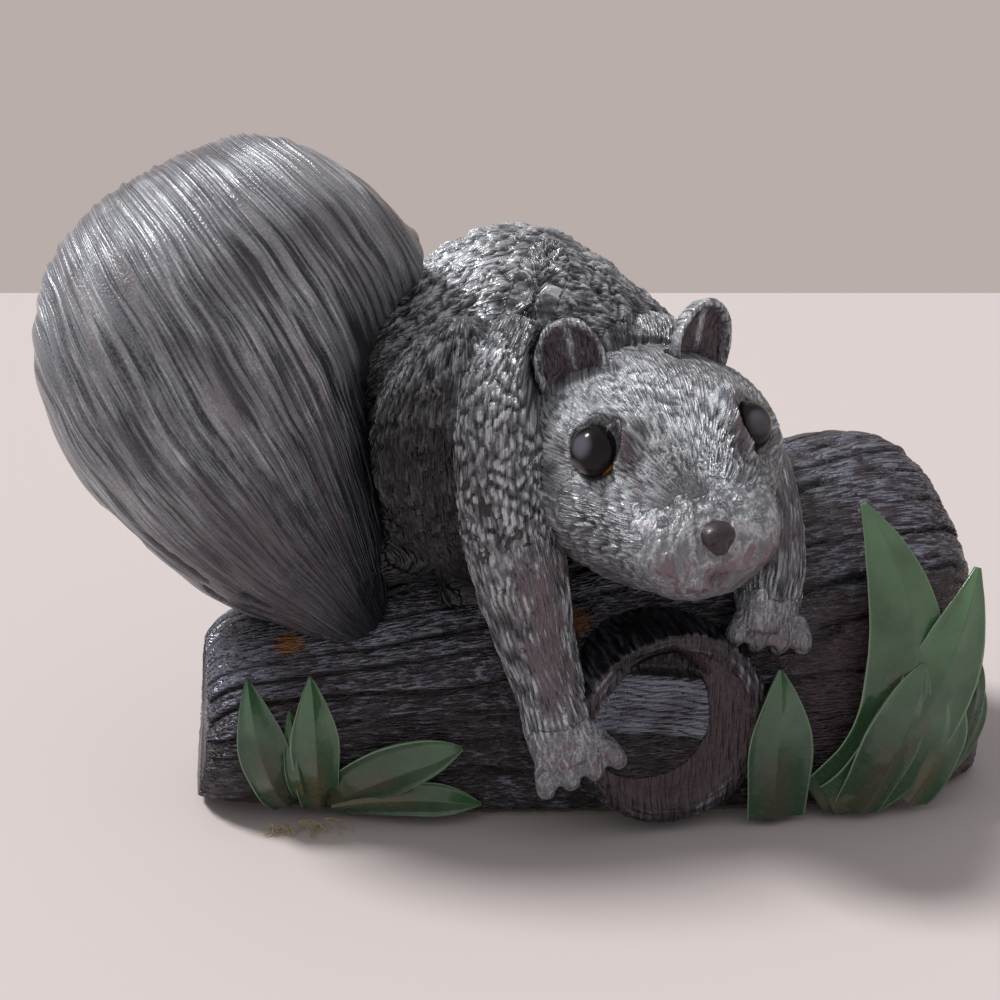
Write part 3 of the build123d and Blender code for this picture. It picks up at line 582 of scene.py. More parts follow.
def summed(tree, first, second, share):
    """The first number plus a share of how far the second is from a half."""
    off = add(tree, "Math", {0: second, 1: 0.5}, operation="SUBTRACT")
    return add(tree, "Math", {0: off, 1: share, 2: first}, operation="MULTIPLY_ADD")


def laid(tree, under, over, value, low, high, most=1.0):
    """One colour laid over another where a value rises from low to high, by up to a share."""
    keys = {"Value": value, "From Min": low, "From Max": high, "To Max": most}
    share = add(tree, "MapRange", keys, **S_CURVE)
    return add(tree, "Mix", {0: share, 6: under, 7: over}, 2, **COLOURS)


# Grains of the varnish, of the brush's sweep and of patches where the paint is worn, in mm
FINE_GRAIN, SWEEP_GRAIN, WORN_GRAIN = 0.45, 9.0, 14.0
BUMP_HEIGHT = 0.45
MOSS_TONES = ("3a2a1c", "a8713f")


def dry_brushed(name, colours, tones, gloss, metal, hair, contrast):
    """Cast resin painted dark, dry-brushed with silver over its ridges and varnished: relief and
    hairs lift the paint from the groove's colour to the ridge's, and the varnish glints on them.
    The colours are those of grooves, of the middle, of ridges, of patches of wear and of painted shade."""
    groove, middle, ridge, worn_tone, deep = (linear(code) for code in colours)
    material, tree = new_material(name)
    relief, bare, moss, shade = (
        add(tree, "Attribute", output="Fac", attribute_name=key)
        for key in ("relief", "skin", "rust", "shade"))
    hairs = combed(tree, *hair)
    fine, sweep = grain(tree, FINE_GRAIN), grain(tree, SWEEP_GRAIN, 2.0)
    lit = summed(tree, relief, hairs, contrast)
    lit = summed(tree, lit, fine, 0.5)
    lit = summed(tree, lit, sweep, 0.25)
    colour = laid(tree, groove, middle, lit, 0.02, 0.42)
    colour = laid(tree, colour, ridge, lit, 0.42, 0.95)
    # Patches where the paint is worn, set by broad noise
    wear_and_painted_highlight = add(tree, "Mix", {0: 0.45, 6: colour, 7: worn_tone}, 2, **COLOURS)
    colour = laid(tree, colour, wear_and_painted_highlight, grain(tree, WORN_GRAIN, 2.0), 0.48, 0.62)
    tone = add(tree, "Mix", {0: fine, 6: linear(tones[0]), 7: linear(tones[1])}, 2, **COLOURS)
    colour = laid(tree, colour, tone, summed(tree, bare, hairs, 1.1), 0.25, 0.75)
    tone = add(tree, "Mix", {0: fine, 6: linear(MOSS_TONES[0]), 7: linear(MOSS_TONES[1])}, 2, **COLOURS)
    colour = laid(tree, colour, tone, summed(tree, moss, fine, 1.2), 0.35, 0.75)
    # Painted shade: where the shade mark is high, the colour goes most of the way to the deep colour
    dark = add(tree, "Mix", {0: 0.90, 6: colour, 7: deep}, 2, **COLOURS)
    colour = add(tree, "Mix", {0: shade, 6: colour, 7: dark}, 2, **COLOURS)
    keys = {"Value": lit, "From Min": 0.35, "From Max": 0.9, "To Max": metal}
    metallic = add(tree, "MapRange", keys, **S_CURVE)
    height = summed(tree, summed(tree, hairs, fine, 0.6), hairs, 0.5)
    bump = add(tree, "Bump", {"Height": height, "Strength": 0.8, "Distance": BUMP_HEIGHT * MM})
    keys = {"Base Color": colour, "Roughness": summed(tree, gloss, sweep, 0.35), "Metallic": metallic}
    keys.update({"Normal": bump, "Coat Normal": bump, "Specular IOR Level": 0.35})
    keys.update({"Coat Weight": 0.25, "Coat Roughness": 0.12})
    add(tree, "OutputMaterial", {"Surface": add(tree, "BsdfPrincipled", keys)})
    return material


def dress(thing, material, slot, *nodes, body="root"):
    """Gives a piece its paint and the body it rides on, and hides the CAD nodes it stands for; the slot is
    not used.
    """
    thing.data.materials.clear()
    thing.data.materials.append(material)
    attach(thing, body)
    if nodes:
        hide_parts(*nodes)
    return thing


# The four dry-brushed paints; a hair's width, length and crispness, in mm and as a share
MAUVE, BROWN_MAUVE, RED_BROWN = ("5d4f56", "857680"), ("4d444a", "756b73"), ("30232a", "4d3d45")
fur_paint = dry_brushed(
    "painted_resin_fur", ("100e12", "67696f", "dadde1", "3c343a", "080609"), MAUVE,
    gloss=0.28, metal=0.38, hair=(0.55, 3.5, 0.25), contrast=0.7)
face_paint = dry_brushed(
    "painted_resin_face", ("2c2b30", "75777d", "d4d7db", "4c4349", "120d11"), MAUVE,
    gloss=0.30, metal=0.32, hair=(0.45, 3.5, 0.25), contrast=0.45)
tail_paint = dry_brushed(
    "painted_resin_tail_fur", ("2c2d32", "7b7e85", "d2d5da", "4a4550", "0b1a22"), BROWN_MAUVE,
    gloss=0.30, metal=0.40, hair=(0.85, 26.0, 0.10), contrast=0.62)
bark_paint = dry_brushed(
    "painted_resin_bark", ("0b080b", "352d36", "868a99", "2a1d21", "030203"), RED_BROWN,
    gloss=0.22, metal=0.40, hair=(0.45, 5.0, 0.25), contrast=0.8)

# Rust-coloured moss left on the bark by the tail's root and behind the right paw
RUST_AT = (np.array((-62.0, -13.5, 35.5)), np.array((-7.0, -26.5, 40.0)))
RUST_RADIUS = 3.4


# Log

def log_row(x):
    """Width share, height share, flatness, and the whole height and half width of the log at x."""
    along = np.asarray(x) / LOG_LENGTH + 0.5
    width, height, flat = (np.interp(along, LOG_SHARES[:, 0], LOG_SHARES[:, k]) for k in (1, 2, 3))
    share = np.clip(along, 0, 1)
    return width, height, flat, mixed(*LOG_HEIGHTS, share), mixed(*LOG_HALF_WIDTHS, share)


def log_half_width(x):
    """Half the log's width at x: its width there by its share."""
    row = log_row(x)
    return row[4] * row[0]


def log_top(x):
    """How high the log's top is at x: the pad, and the log's height there by its share."""
    row = log_row(x)
    return PAD_THICKNESS + row[3] * row[1]


def log_grid(steps, sides):
    """D sections along X that grow to the right: half an ellipse over the widest line and part of
    one under it, cut flat at the pad, with both ends rounded, slanted and leaning in."""
    along, width, height, flat = eased(LOG_SHARES, steps).T
    toward_end = 2 * along - 1
    full = mixed(*LOG_HEIGHTS, along)
    widest = full * mixed(*LOG_WIDEST_SHARES, along)
    half = mixed(*LOG_HALF_WIDTHS, along) * width
    across = Y - LOG_END_SLANT_SHARE * toward_end[:, None] * X
    up = Z - LOG_END_LEAN_SHARE * toward_end[:, None] * X
    centres = LOG_LENGTH / 2 * toward_end[:, None] * X + PAD_THICKNESS * Z + up * widest[:, None]
    drop = widest / np.sqrt(1 - flat ** 2)
    grid = rings(centres, across, up, half, full * height - widest, drop, sides)
    return grid + up[:, None] * np.maximum(PAD_THICKNESS - grid[..., 2:], 0)


def grid_normals(grid):
    """Unit normals of sections, from the cross product of the steps along and round them."""
    along = np.gradient(grid, axis=0)
    round_ = np.roll(grid, -1, axis=1) - np.roll(grid, 1, axis=1)
    normal = unit(np.cross(along, round_) + 1e-12)
    away = grid - grid.mean(1, keepdims=True)
    return normal * np.sign((normal * away).sum(-1).mean())


def make_log():
    """Bark worked into the D sections: fine straight grain along X, over plates that are tilted
    shingles round the log, each edge of them a broken dark crack; the underside is left flat."""
    grid = log_grid(LOG_STEPS, LOG_SIDES)
    normal = grid_normals(grid)
    middle = grid.mean(1, keepdims=True)
    turn = np.unwrap(np.arctan2(grid[..., 2] - middle[..., 2], grid[..., 1]), axis=1)
    x = grid[..., 0]
    long_grid = grid * (0.14, 1, 1)
    girth = turn * BARK_GIRTH + 0.8 * fractal(long_grid, 9.0, 3)
    (pitch, length), (broad_pitch, broad_length) = BARK_FIBRES
    broad_fibres = strokes(girth / broad_pitch + 0.3, x / broad_length, 27)
    fibres = np.maximum(strokes(girth / pitch, x / length, 23), 0.7 * broad_fibres)
    line = girth / BARK_PLATE_PITCH + 0.45 * fractal(long_grid, 7.0, 31)
    plate = np.floor(line)
    tilt = line - plate
    broken = smooth(0.42, 0.60, noise(long_grid + plate[..., None] * 5.0, 8.0, 37))
    crack = broken * smooth(0.14, 0.03, np.minimum(tilt, 1 - tilt))
    short = smooth(0.80, 0.93, strokes(girth / BARK_CREASE_PITCH, x / BARK_CREASE_LENGTH, 43))
    calm = smooth(*SMOOTH_X, x) * smooth(*SMOOTH_Z, grid[..., 2]) * smooth(*SMOOTH_Y, grid[..., 1])
    free = smooth(PAD_THICKNESS + 0.2, PAD_THICKNESS + 3, grid[..., 2])
    lift = BARK_FIBRE_HEIGHT * (fibres - 0.5) * (1 - 0.6 * calm)
    lift = lift + BARK_PLATE_HEIGHT * (tilt - 0.5) * broken
    lift = lift - BARK_CRACK_DEPTH * crack - BARK_CREASE_DEPTH * short
    lift = lift + BARK_SWELL * fractal(grid * (0.6, 1, 1), BARK_SWELL_PITCH, 41)
    grid = grid + normal * (lift * free - BARK_SINK)[..., None]
    grid[..., 2] = np.maximum(grid[..., 2], PAD_THICKNESS + 0.02)
    points, faces = capped(grid, LOG_END_RINGS)
    thing = make_object("log_bark", points, faces)
    # Painted highlight: the sides that face up, and most of all the top of the left end, are painted lighter
    top = smooth(0.25, 0.8, normal[..., 2])
    wear_and_painted_highlight = smooth(*LEFT_HIGHLIGHT_X, x) * smooth(0.0, 0.6, normal[..., 2])
    relief = np.clip(0.60 * fibres + 0.25 * tilt * broken + 0.24 * top + 0.25 * wear_and_painted_highlight, 0, 1)
    dark = np.clip(crack + 0.7 * short, 0, 1)
    rust = np.zeros(grid.shape[:2])
    for place in RUST_AT:
        rust = np.maximum(rust, np.exp(-(((grid - place) / RUST_RADIUS) ** 2).sum(-1)))
    marks = {"relief": (relief, 0.45), "shade": (dark, 0.15), "skin": (0.85 * calm, 0.35), "rust": (rust, 0)}
    for key, (value, end) in marks.items():
        mark(thing, **{key: over_ends(value, end, end, LOG_END_RINGS)})
    mark(thing, comb=points[:, [1, 2, 0]])
    return thing


def stub_reach():
    """How far the branch's sawn face is from the log's middle: a little proud of its side."""
    return float(log_half_width(STUB_AT_X + STUB_RADIUS)) + STUB_PROUD


def make_stub():
    """The sawn branch: a profile turned about its axis. Its collar has fine curved growth lines and
    the face inside it is a smooth band, then a chipped plate that steps down into a hollow above."""
    reach = stub_reach()
    profile = [(share * reach, full) for share, full in STUB_SIDE_SHARES]
    profile += [(reach - back, full) for back, full in STUB_FACE]
    rows = eased(profile, STUB_STEPS)
    radius = STUB_RADIUS * rows[:, 1]
    centres = np.array((STUB_AT_X, 0, STUB_CENTRE_HEIGHT)) - Y * rows[:, :1]
    grid = rings(centres, X, Z, radius, radius, radius, STUB_SIDES)
    ahead = np.arange(len(rows))[:, None] > STUB_FACE_ROW * STUB_STEPS
    place = (grid - centres[:, None]) / STUB_RADIUS
    right, high = place[..., 0], place[..., 2]
    turn = np.arctan2(high, right)
    r = radius[:, None] / STUB_RADIUS + 0.03 * fractal(place, 0.6, 51)
    edge = np.hypot(right + 0.26, high - 0.16) / 0.64 + 0.05 * fractal(place, 0.3, 67)
    collar = ahead * smooth(0.76, 0.84, r)
    growth = strokes(r * 12 + 0.6 * fractal(place, 0.7, 53), turn * 1.1, 55)
    band = ahead * smooth(0.97, 1.04, edge) * (1 - collar)
    low = high - 0.36 + 0.20 * right
    inner = ahead * smooth(1.03, 0.97, edge) * smooth(0.86, 0.80, r)
    plate = inner * smooth(-0.46, -0.40, low) * smooth(0.20, 0.15, low)
    hollow = ahead * smooth(1.22, 0.95, edge) * smooth(0.15, 0.26, low)
    ledge = low * 15 + 0.9 * fractal(place * (0.35, 1, 1), 0.22, 57)
    step = ledge - np.floor(ledge)
    lines = strokes(low * 24 + fractal(place * (0.4, 1, 1), 0.4, 59), right * 2.2, 61)
    under = inner * smooth(-0.40, -0.46, low)
    bark = strokes(turn * 12 + fractal(grid, 6.0, 65), grid[..., 1] / 12, 63) * (1 - ahead)
    face_lift = 0.28 * (growth - 0.4) * collar - 0.25 * band + plate * (0.7 + 0.6 * (step - 0.5))
    face_lift = face_lift - 1.9 * hollow * (1 - 0.5 * collar) + under * (0.5 * lines - 0.3)
    lift = 0.6 * (bark - 0.5) * (1 - ahead) + 0.6 * fractal(grid, 9.0, 71)
    rim = smooth(0.86, 0.95, r)
    grid = grid + unit(place + 1e-9) * (lift * rim)[..., None] - Y * (face_lift * ahead)[..., None]
    thing = make_object("stub_sawn_branch", *capped(grid))
    # The raised plate is painted pale, a painted highlight of the gloss on the sawn face
    relief = bark * (1 - ahead) + 0.55 * growth * collar + plate * (0.75 + 0.5 * step)
    relief = relief + 0.5 * under * lines + 0.1
    # Painted shade: darkest in the hollow above the plate, where the chin's shadow falls, and on the stub's
    # bark side; also darker at the plate's steps and low on the face
    shade = 1.1 * hollow + 0.8 * plate * smooth(0.25, 0.05, step) + 0.4 * under + 0.75 * (1 - ahead)
    shade = np.clip(shade, 0, 1)
    skin = np.clip(band + 0.5 * collar * (1 - growth), 0, 1)
    plain = place * STUB_RADIUS * (0.5, 0.5, 0.8)
    comb = np.where((plate + under)[..., None] > 0.3, place[..., [1, 2, 0]] * STUB_RADIUS, plain)
    mark(thing, relief=np.clip(over_ends(relief), 0, 1), shade=over_ends(shade), skin=over_ends(skin),
         rust=0, comb=over_ends(comb, comb[0, 0], comb[-1, 0]))
    return thing


# Squirrel

SEAT_Z = float(log_top(TORSO_BACK_X + TORSO[0] / 2)) - TORSO_SINK


def on_torso(along, near, height):
    """A place in shares of the torso's three sizes, from its back on the seat."""
    return np.array((TORSO_BACK_X, 0, SEAT_Z)) + TORSO * (along, -near, height)


class HeadFrame:
    """The head's middle and its own directions."""

    level = np.array((-math.cos(HEAD_YAW), -math.sin(HEAD_YAW), 0))
    middle = on_torso(*HEAD_PLACE_SHARES)
    forward = np.array((
        math.sin(HEAD_YAW) * math.cos(HEAD_PITCH),
        -math.cos(HEAD_YAW) * math.cos(HEAD_PITCH),
        -math.sin(HEAD_PITCH),
    ))
    upright = np.cross(level, forward)
    right = level * math.cos(HEAD_ROLL) + upright * math.sin(HEAD_ROLL)
    up = upright * math.cos(HEAD_ROLL) - level * math.sin(HEAD_ROLL)

    @classmethod
    def at(cls, along, aside, height):
        """Places given along, aside and up in shares of the head's three sizes."""
        along, aside, height = (np.asarray(share, float)[..., None] for share in (along, aside, height))
        ahead = cls.forward * (HEAD_LENGTH * (along - HEAD_BACK_SHARE))
        return cls.middle + ahead + cls.right * (HEAD_WIDTH * aside) + cls.up * (HEAD_HEIGHT * height)

    @classmethod
    def shares(cls, points):
        """Along, aside and height of points, in shares of the head's three sizes."""
        rel = points - cls.middle
        along = rel @ cls.forward / HEAD_LENGTH + HEAD_BACK_SHARE
        return along, rel @ cls.right / HEAD_WIDTH, rel @ cls.up / HEAD_HEIGHT


def torso_form(steps=8):
    """The torso: egg-shaped sections along its back, by its table."""
    along, near, height, half, rise, drop = eased(TORSO_SHARES, steps).T
    centres = np.stack([on_torso(*row) for row in zip(along, near, height)])
    return Form(centres, -Y, Z, TORSO[1] * half, TORSO[2] * rise, TORSO[2] * drop)


def head_form(steps=8):
    """The plain head: sections from its back to the muzzle's end, by its table."""
    along, height, half, rise, drop = eased(HEAD_SHARES, steps).T
    sizes = (HEAD_WIDTH * half, HEAD_HEIGHT * rise, HEAD_HEIGHT * drop)
    return Form(HeadFrame.at(along, 0 * along, height), HeadFrame.right, HeadFrame.up, *sizes)


def neck_form(full=1.0, steps=8):
    """The neck: a short barrel from inside the torso to inside the head."""
    end = HeadFrame.at(HEAD_SHARES[2][0], 0, HEAD_SHARES[2][1])
    near, above = NECK_ROOT_SHARES
    start = np.array((end[0], -TORSO[1] * near, end[2] + HEAD_HEIGHT * above))
    along, size = eased(NECK_SHARES, steps).T
    centres = start + (end - start) * along[:, None]
    rise = HEAD_HEIGHT * NECK_HEIGHT_SHARE / 2 * size * full
    return Form(centres, -X, Z, HEAD_WIDTH * NECK_WIDTH_SHARE / 2 * size * full, rise, rise)


def haunch_form(side, steps=8):
    """A haunch: level sections that swell from its foot and round over at its top, by its table."""
    high, forward, half_length, half_width = eased(HAUNCH_SHARES, steps).T
    foot = on_torso(HAUNCH_PLACE_SHARES[0], -side * HAUNCH_PLACE_SHARES[1], HAUNCH_PLACE_SHARES[2])
    centres = foot + HAUNCH[0] * forward[:, None] * X + HAUNCH[2] * high[:, None] * Z
    wide = HAUNCH[1] * half_width
    return Form(centres, X, Y, HAUNCH[0] * half_length, wide, wide)


def toe_forms(wrist, forward, across, out):
    """Toes that fan out from a paw's end, each tapering to a blunt tip."""
    made = []
    share, full, lift = eased(TOE_SHARES, 4).T
    for toe in range(TOE_COUNT):
        spread = toe - (TOE_COUNT - 1) / 2
        turn = math.radians(TOE_SPREAD * spread)
        along = forward * math.cos(turn) + across * math.sin(turn)
        beside = across * math.cos(turn) - forward * math.sin(turn)
        root = wrist + across * (TOE_PITCH * spread) - forward * (TOE_LENGTH * TOE_ROOT_SHARE)
        centres = root + along * (TOE_LENGTH * share)[:, None] + out * (TOE_RADIUS * lift)[:, None]
        radius = TOE_RADIUS * full
        made.append(Form(centres, beside, out, radius, radius, radius, 20))
    return made


def foot_forms(side, steps=8):
    """A hind foot, flat on the log's top, splayed outwards, and its toes."""
    forward = np.array((math.cos(FOOT_SPLAY), side * math.sin(FOOT_SPLAY), 0))
    across = np.array((-math.sin(FOOT_SPLAY), side * math.cos(FOOT_SPLAY), 0))
    along, half, high = eased(FOOT_SHARES, steps).T
    heel = on_torso(FOOT_PLACE_SHARES[0], -side * FOOT_PLACE_SHARES[1], 0)
    centres = heel + forward * (FOOT_LENGTH * along)[:, None]
    centres[:, 2] = log_top(centres[:, 0]) - FOOT_SINK
    foot = Form(centres, across, Z, FOOT_WIDTH * half, FOOT_HEIGHT * high, FOOT_SINK, 48)
    return [foot] + toe_forms(centres[-1], forward, across, Z)


def leg_forms(name, steps=10):
    """A foreleg square to its path from the shoulder to the paw, and its toes."""
    if name == "right":
        shoulder = on_torso(*RIGHT_SHOULDER_SHARES)
        paw = np.array((shoulder[0] + RIGHT_FORWARD, -stub_reach(), RIGHT_PAW_HEIGHT))
        table, outward_way = RIGHT_SHARES, -Y
    else:
        shoulder = on_torso(*LEFT_SHOULDER_SHARES)
        x = shoulder[0] + LEFT_FORWARD
        paw = np.array((x, -log_half_width(x) * LEFT_PAW_SHARES[0], log_top(x) * LEFT_PAW_SHARES[1]))
        table, outward_way = LEFT_SHARES, X - Y + Z
    rows = eased(table, steps)
    centres = shoulder + (paw - shoulder) * rows[:, :3]
    along = unit(np.gradient(centres, axis=0))
    across = unit(np.cross(along, outward_way))
    leg = Form(centres, across, np.cross(across, along), *(FORELEG_WIDTH * rows[:, 3:].T), 64)
    end = unit(centres[-1] - centres[-3])
    beside = unit(np.cross(end, -Y))
    return [leg] + toe_forms(centres[-1], end, beside, np.cross(beside, end))


def comb_of(points, forms):
    """Places for the paint's fine hairs: each point's distance along the nearest form's path as the
    third number, and its turn about it as a point on a circle as the first two, so no seam shows."""
    found, nearest = np.zeros_like(points), np.full(len(points), np.inf)
    for form in forms:
        along, turn, deep = form.flow(points)
        closer = deep < nearest
        wide = form.half.max()
        place = np.stack([wide * np.cos(turn), wide * np.sin(turn), along], -1)
        found[closer] = place[closer]
        nearest = np.minimum(nearest, deep)
    return found


def behind_ears(points, reach):
    """Points moved back behind the ears, where they would lie in front of an ear's cup."""
    for side in (1, -1):
        place, across, up, facing = ear_place(side)
        rel = points - place
        deep = rel @ facing
        out = np.hypot(rel @ across / (EAR_WIDTH / 2), rel @ up / (EAR_HEIGHT / 2))
        hold = smooth(1.28, 1.02, out) * (deep < reach)
        points = points - facing * (hold * np.maximum(deep + EAR_THICKNESS * 0.7, 0))[:, None]
    return points


def fur_lift(points, forms, pitch, length, curl, seed):
    """Combed fur on a skin made of several forms: on each form the lanes run along its path, spread
    by the turn about it, and both are bent by noise; near a join the forms' furs are mixed by how
    deep the point lies in each."""
    total, weights = 0, 0
    bend = curl * fractal(points, 5.0, seed)
    drift = curl * fractal(points, 6.5, seed + 1)
    for number, form in enumerate(forms):
        along, turn, deep = form.flow(points)
        girth = turn * form.half.max()
        weight = np.exp(-14 * np.clip(deep, 0, 3))
        total = total + weight * strokes((girth + bend) / pitch, (along + drift) / length, seed + 10 * number)
        weights = weights + weight
    return total / weights


def make_body():
    """Torso, neck, haunches and hind feet under one skin, with curled tufts on it."""
    leg = leg_forms("right")[0]
    keep = slice(0, SHOULDER_ROWS)
    sizes = (0.93 * size[keep] for size in (leg.half, leg.rise, leg.drop))
    shoulder = Form(leg.centres[keep], leg.across[keep], leg.up[keep], *sizes, 64)
    forms = [torso_form(), neck_form(0.97), haunch_form(-1), haunch_form(1), shoulder]
    feet = foot_forms(-1) + foot_forms(1)
    ends = [(x, 0, SEAT_Z + RUMP_LIFT) for x in RUMP_X]
    feet.append(Form(np.linspace(*ends, 20), Y, Z, *RUMP_SIZES))
    skins = [capped(form.grid) for form in forms + feet]
    thing = merged("squirrel_body", skins, *BODY_SKIN)
    points, normals = points_of(thing), normals_of(thing)
    fur = fur_lift(points, forms, *BODY_TUFTS, 101)
    fine = fur_lift(points, forms, *BODY_HAIRS, 151)
    relief = 0.62 * fur + 0.38 * fine
    low = smooth(SEAT_Z + 4, SEAT_Z + 9, points[:, 2])
    lift = BODY_TUFT_HEIGHT * (fur - LEVEL_FUR) + BODY_HAIR_HEIGHT * (fine - LEVEL_FUR)
    lift = lift * (0.3 + 0.7 * low)
    lift = lift + 0.5 * fractal(points, 9.0, 171) * low
    place_points(thing, behind_ears(points + normals * lift[:, None], 14))
    # Painted shade: darker on the flank beside the tail, underneath and low by the seat; also darker in the
    # fur's grooves
    flank = smooth(0.70, 0.05, normals[:, 2]) * smooth(104, 84, points[:, 2])
    under = smooth(0.15, -0.35, normals[:, 2])
    seat = smooth(SEAT_Z + 20, SEAT_Z + 4, points[:, 2])
    shade = np.clip(0.9 * flank + 0.5 * under + 0.9 * seat + 0.4 * smooth(0.35, 0.12, relief), 0, 0.97)
    # Painted highlight: fur facing up and to the tail is painted lighter
    lit = smooth(0.2, 0.9, normals @ unit(LIT_WAY))
    relief = np.clip(relief + 0.28 * lit, 0, 1)
    mark(thing, relief=relief, shade=shade, skin=0.12 * flank, comb=comb_of(points, forms))
    return thing


def eye_lids(points, side):
    """The skin round an eye: outside the lid's edge nothing stands in front of a cone round the way
    the eye looks, low on the outer side and steep beside the nose, and inside the edge the skin
    falls back into the socket. Returns the points, how far each is on the rim, and how high the
    rim and the fold beside the nose swell there, each a bell of the distance from the eye's axis."""
    centre, axis = eye_place(side)
    rel = points - centre
    ahead = rel @ axis
    flat = rel - axis * ahead[:, None]
    off = np.linalg.norm(flat, axis=1)
    inner = -side * flat @ HeadFrame.right / np.maximum(off, 0.1)
    on = smooth(-9, -6, ahead)
    above = flat @ HeadFrame.up / np.maximum(off, 0.1)
    beside = smooth(0.1, 0.9, 0.9 * inner + 0.35 * above)
    edge = LID_RADIUS - LID_NARROWER * beside
    slope = mixed(*LID_SLOPES, beside) + 0.5 * smooth(0.2, 0.9, -above)
    cone = -0.3 + 1.2 * beside + slope * np.maximum(off - edge, 0)
    socket = -0.5 - SOCKET_DEPTH * smooth(edge, edge - 0.4, off)
    limit = np.where(off < edge, socket, cone)
    points = points - axis * (on * np.maximum(ahead - limit, 0) * smooth(*LID_FADE, off))[:, None]
    rim = on * smooth(5.5 + 1.6 * np.maximum(above, 0), 4.9, off)
    fold = 2.5 * beside * np.exp(-((off - 6.2) / 1.5) ** 2)
    return points, rim, on * (0.35 * np.exp(-((off - 5.6) / 0.5) ** 2) + fold)


def make_head():
    """The head with its brows, eye rims, whisker pads, lip and chin raised on the plain form, under
    short fur that runs back from the nose."""
    forms = [head_form(), neck_form(1.0)]
    thing = merged("squirrel_head", [capped(form.grid) for form in forms], *HEAD_SKIN)
    points, normals = points_of(thing), normals_of(thing)
    along, aside, height = HeadFrame.shares(points)
    apart = np.abs(aside)

    shares = np.stack([along, apart, height], 1)

    def swelling(place, size):
        """1 at a place of the head, falling off as a bell of that size, both in shares."""
        return np.exp(-(((shares - place) / size) ** 2).sum(1))

    lift = sum(high * swelling(place, size) for high, place, size in HEAD_SWELLINGS)
    lip = np.abs(height + 0.29 - 1.2 * apart ** 1.5)
    mouth = np.exp(-(lip / 0.03) ** 2) * smooth(0.86, 0.95, along) * smooth(0.06, 0.02, apart)
    lift -= 0.3 * mouth
    tear = np.exp(-((apart - 0.210) / 0.026) ** 2 - ((height - 0.22) / 0.15) ** 2) * smooth(0.56, 0.66, along)
    lift -= 0.5 * tear
    rim = np.zeros(len(points))
    for side in (1, -1):
        points, on_rim, swell = eye_lids(points, side)
        rim = np.maximum(rim, on_rim)
        lift += swell
    fur = fur_lift(points, forms, *HEAD_FUR, 201)
    bare = np.maximum(0.8 * rim, smooth(0.70, 0.97, along + 0.06 * fractal(points, 6.0, 205)))
    pores = 0.22 * fractal(points, 2.6, 207) * smooth(0.6, 0.8, along)
    lift += HEAD_FUR_HEIGHT * (fur - LEVEL_FUR) * (1 - 0.85 * bare) + pores
    lift += 0.5 * fractal(points, 8.0, 209)
    place_points(thing, behind_ears(points + normals * lift[:, None], 3))
    # Painted highlight: fur facing up and to the tail is painted lighter, less on the bare muzzle
    lit = smooth(0.2, 0.9, normals @ unit(LIT_WAY))
    relief = np.clip(fur * (0.75 - 0.6 * bare) + 0.32 * bare + 0.20 + 0.25 * lit * (1 - bare), 0, 1)
    pink = 0.45 * smooth(-0.20, -0.34, height + 0.05 * fractal(points, 5.0, 211)) * smooth(0.80, 0.92, along)
    for most, place, size in HEAD_PINKS:
        pink = np.maximum(pink, most * swelling(place, size))
    dark = np.clip(np.maximum(0.5 * mouth, 0.75 * rim) + 0.35 * smooth(0.3, 0.1, fur) * (1 - bare), 0, 1)
    skin = np.clip(np.maximum(pink, 0.9 * tear), 0, 1)
    plain = (bare + 0.7 * fractal(points, 3.0, 213))[:, None] > 0.6
    comb = np.where(plain, points * (0.3, 0.3, 1.2), comb_of(points, forms))
    mark(thing, relief=relief, shade=dark, skin=skin, comb=comb)
    return thing


def ear_place(side):
    """An ear's middle, its own two directions and the way its cup faces."""
    up = HeadFrame.up * math.cos(EAR_TILT_OUT) + HeadFrame.right * (side * math.sin(EAR_TILT_OUT))
    toward = HeadFrame.forward * math.cos(EAR_TURN_OUT) + HeadFrame.right * (side * math.sin(EAR_TURN_OUT))
    across = unit(np.cross(toward, up))
    place = HeadFrame.at(EAR_SHARES[0], side * EAR_SHARES[1], EAR_SHARES[2]) + up * EAR_LIFT
    return place, across, up, unit(np.cross(up, across))


def eye_place(side):
    """An eye's centre and the way it looks."""
    level = HeadFrame.forward * math.cos(EYE_OUTWARD) + HeadFrame.right * (side * math.sin(EYE_OUTWARD))
    axis = level * math.cos(EYE_UPWARD) + HeadFrame.up * math.sin(EYE_UPWARD)
    return HeadFrame.at(EYE_SHARES[0], side * EYE_SHARES[1], EYE_SHARES[2]), axis


def turned(name, place, axis, profile, sides, steps=1):
    """A profile of distances along an axis and radii, turned about it."""
    across = unit(np.cross(axis, HeadFrame.up))
    profile = np.array(profile, float)
    radius = profile[:, 1]
    grid = rings(place + axis * profile[:, :1], across, np.cross(across, axis), radius, radius, radius, sides)
    return make_object(name, *capped(grid, steps))


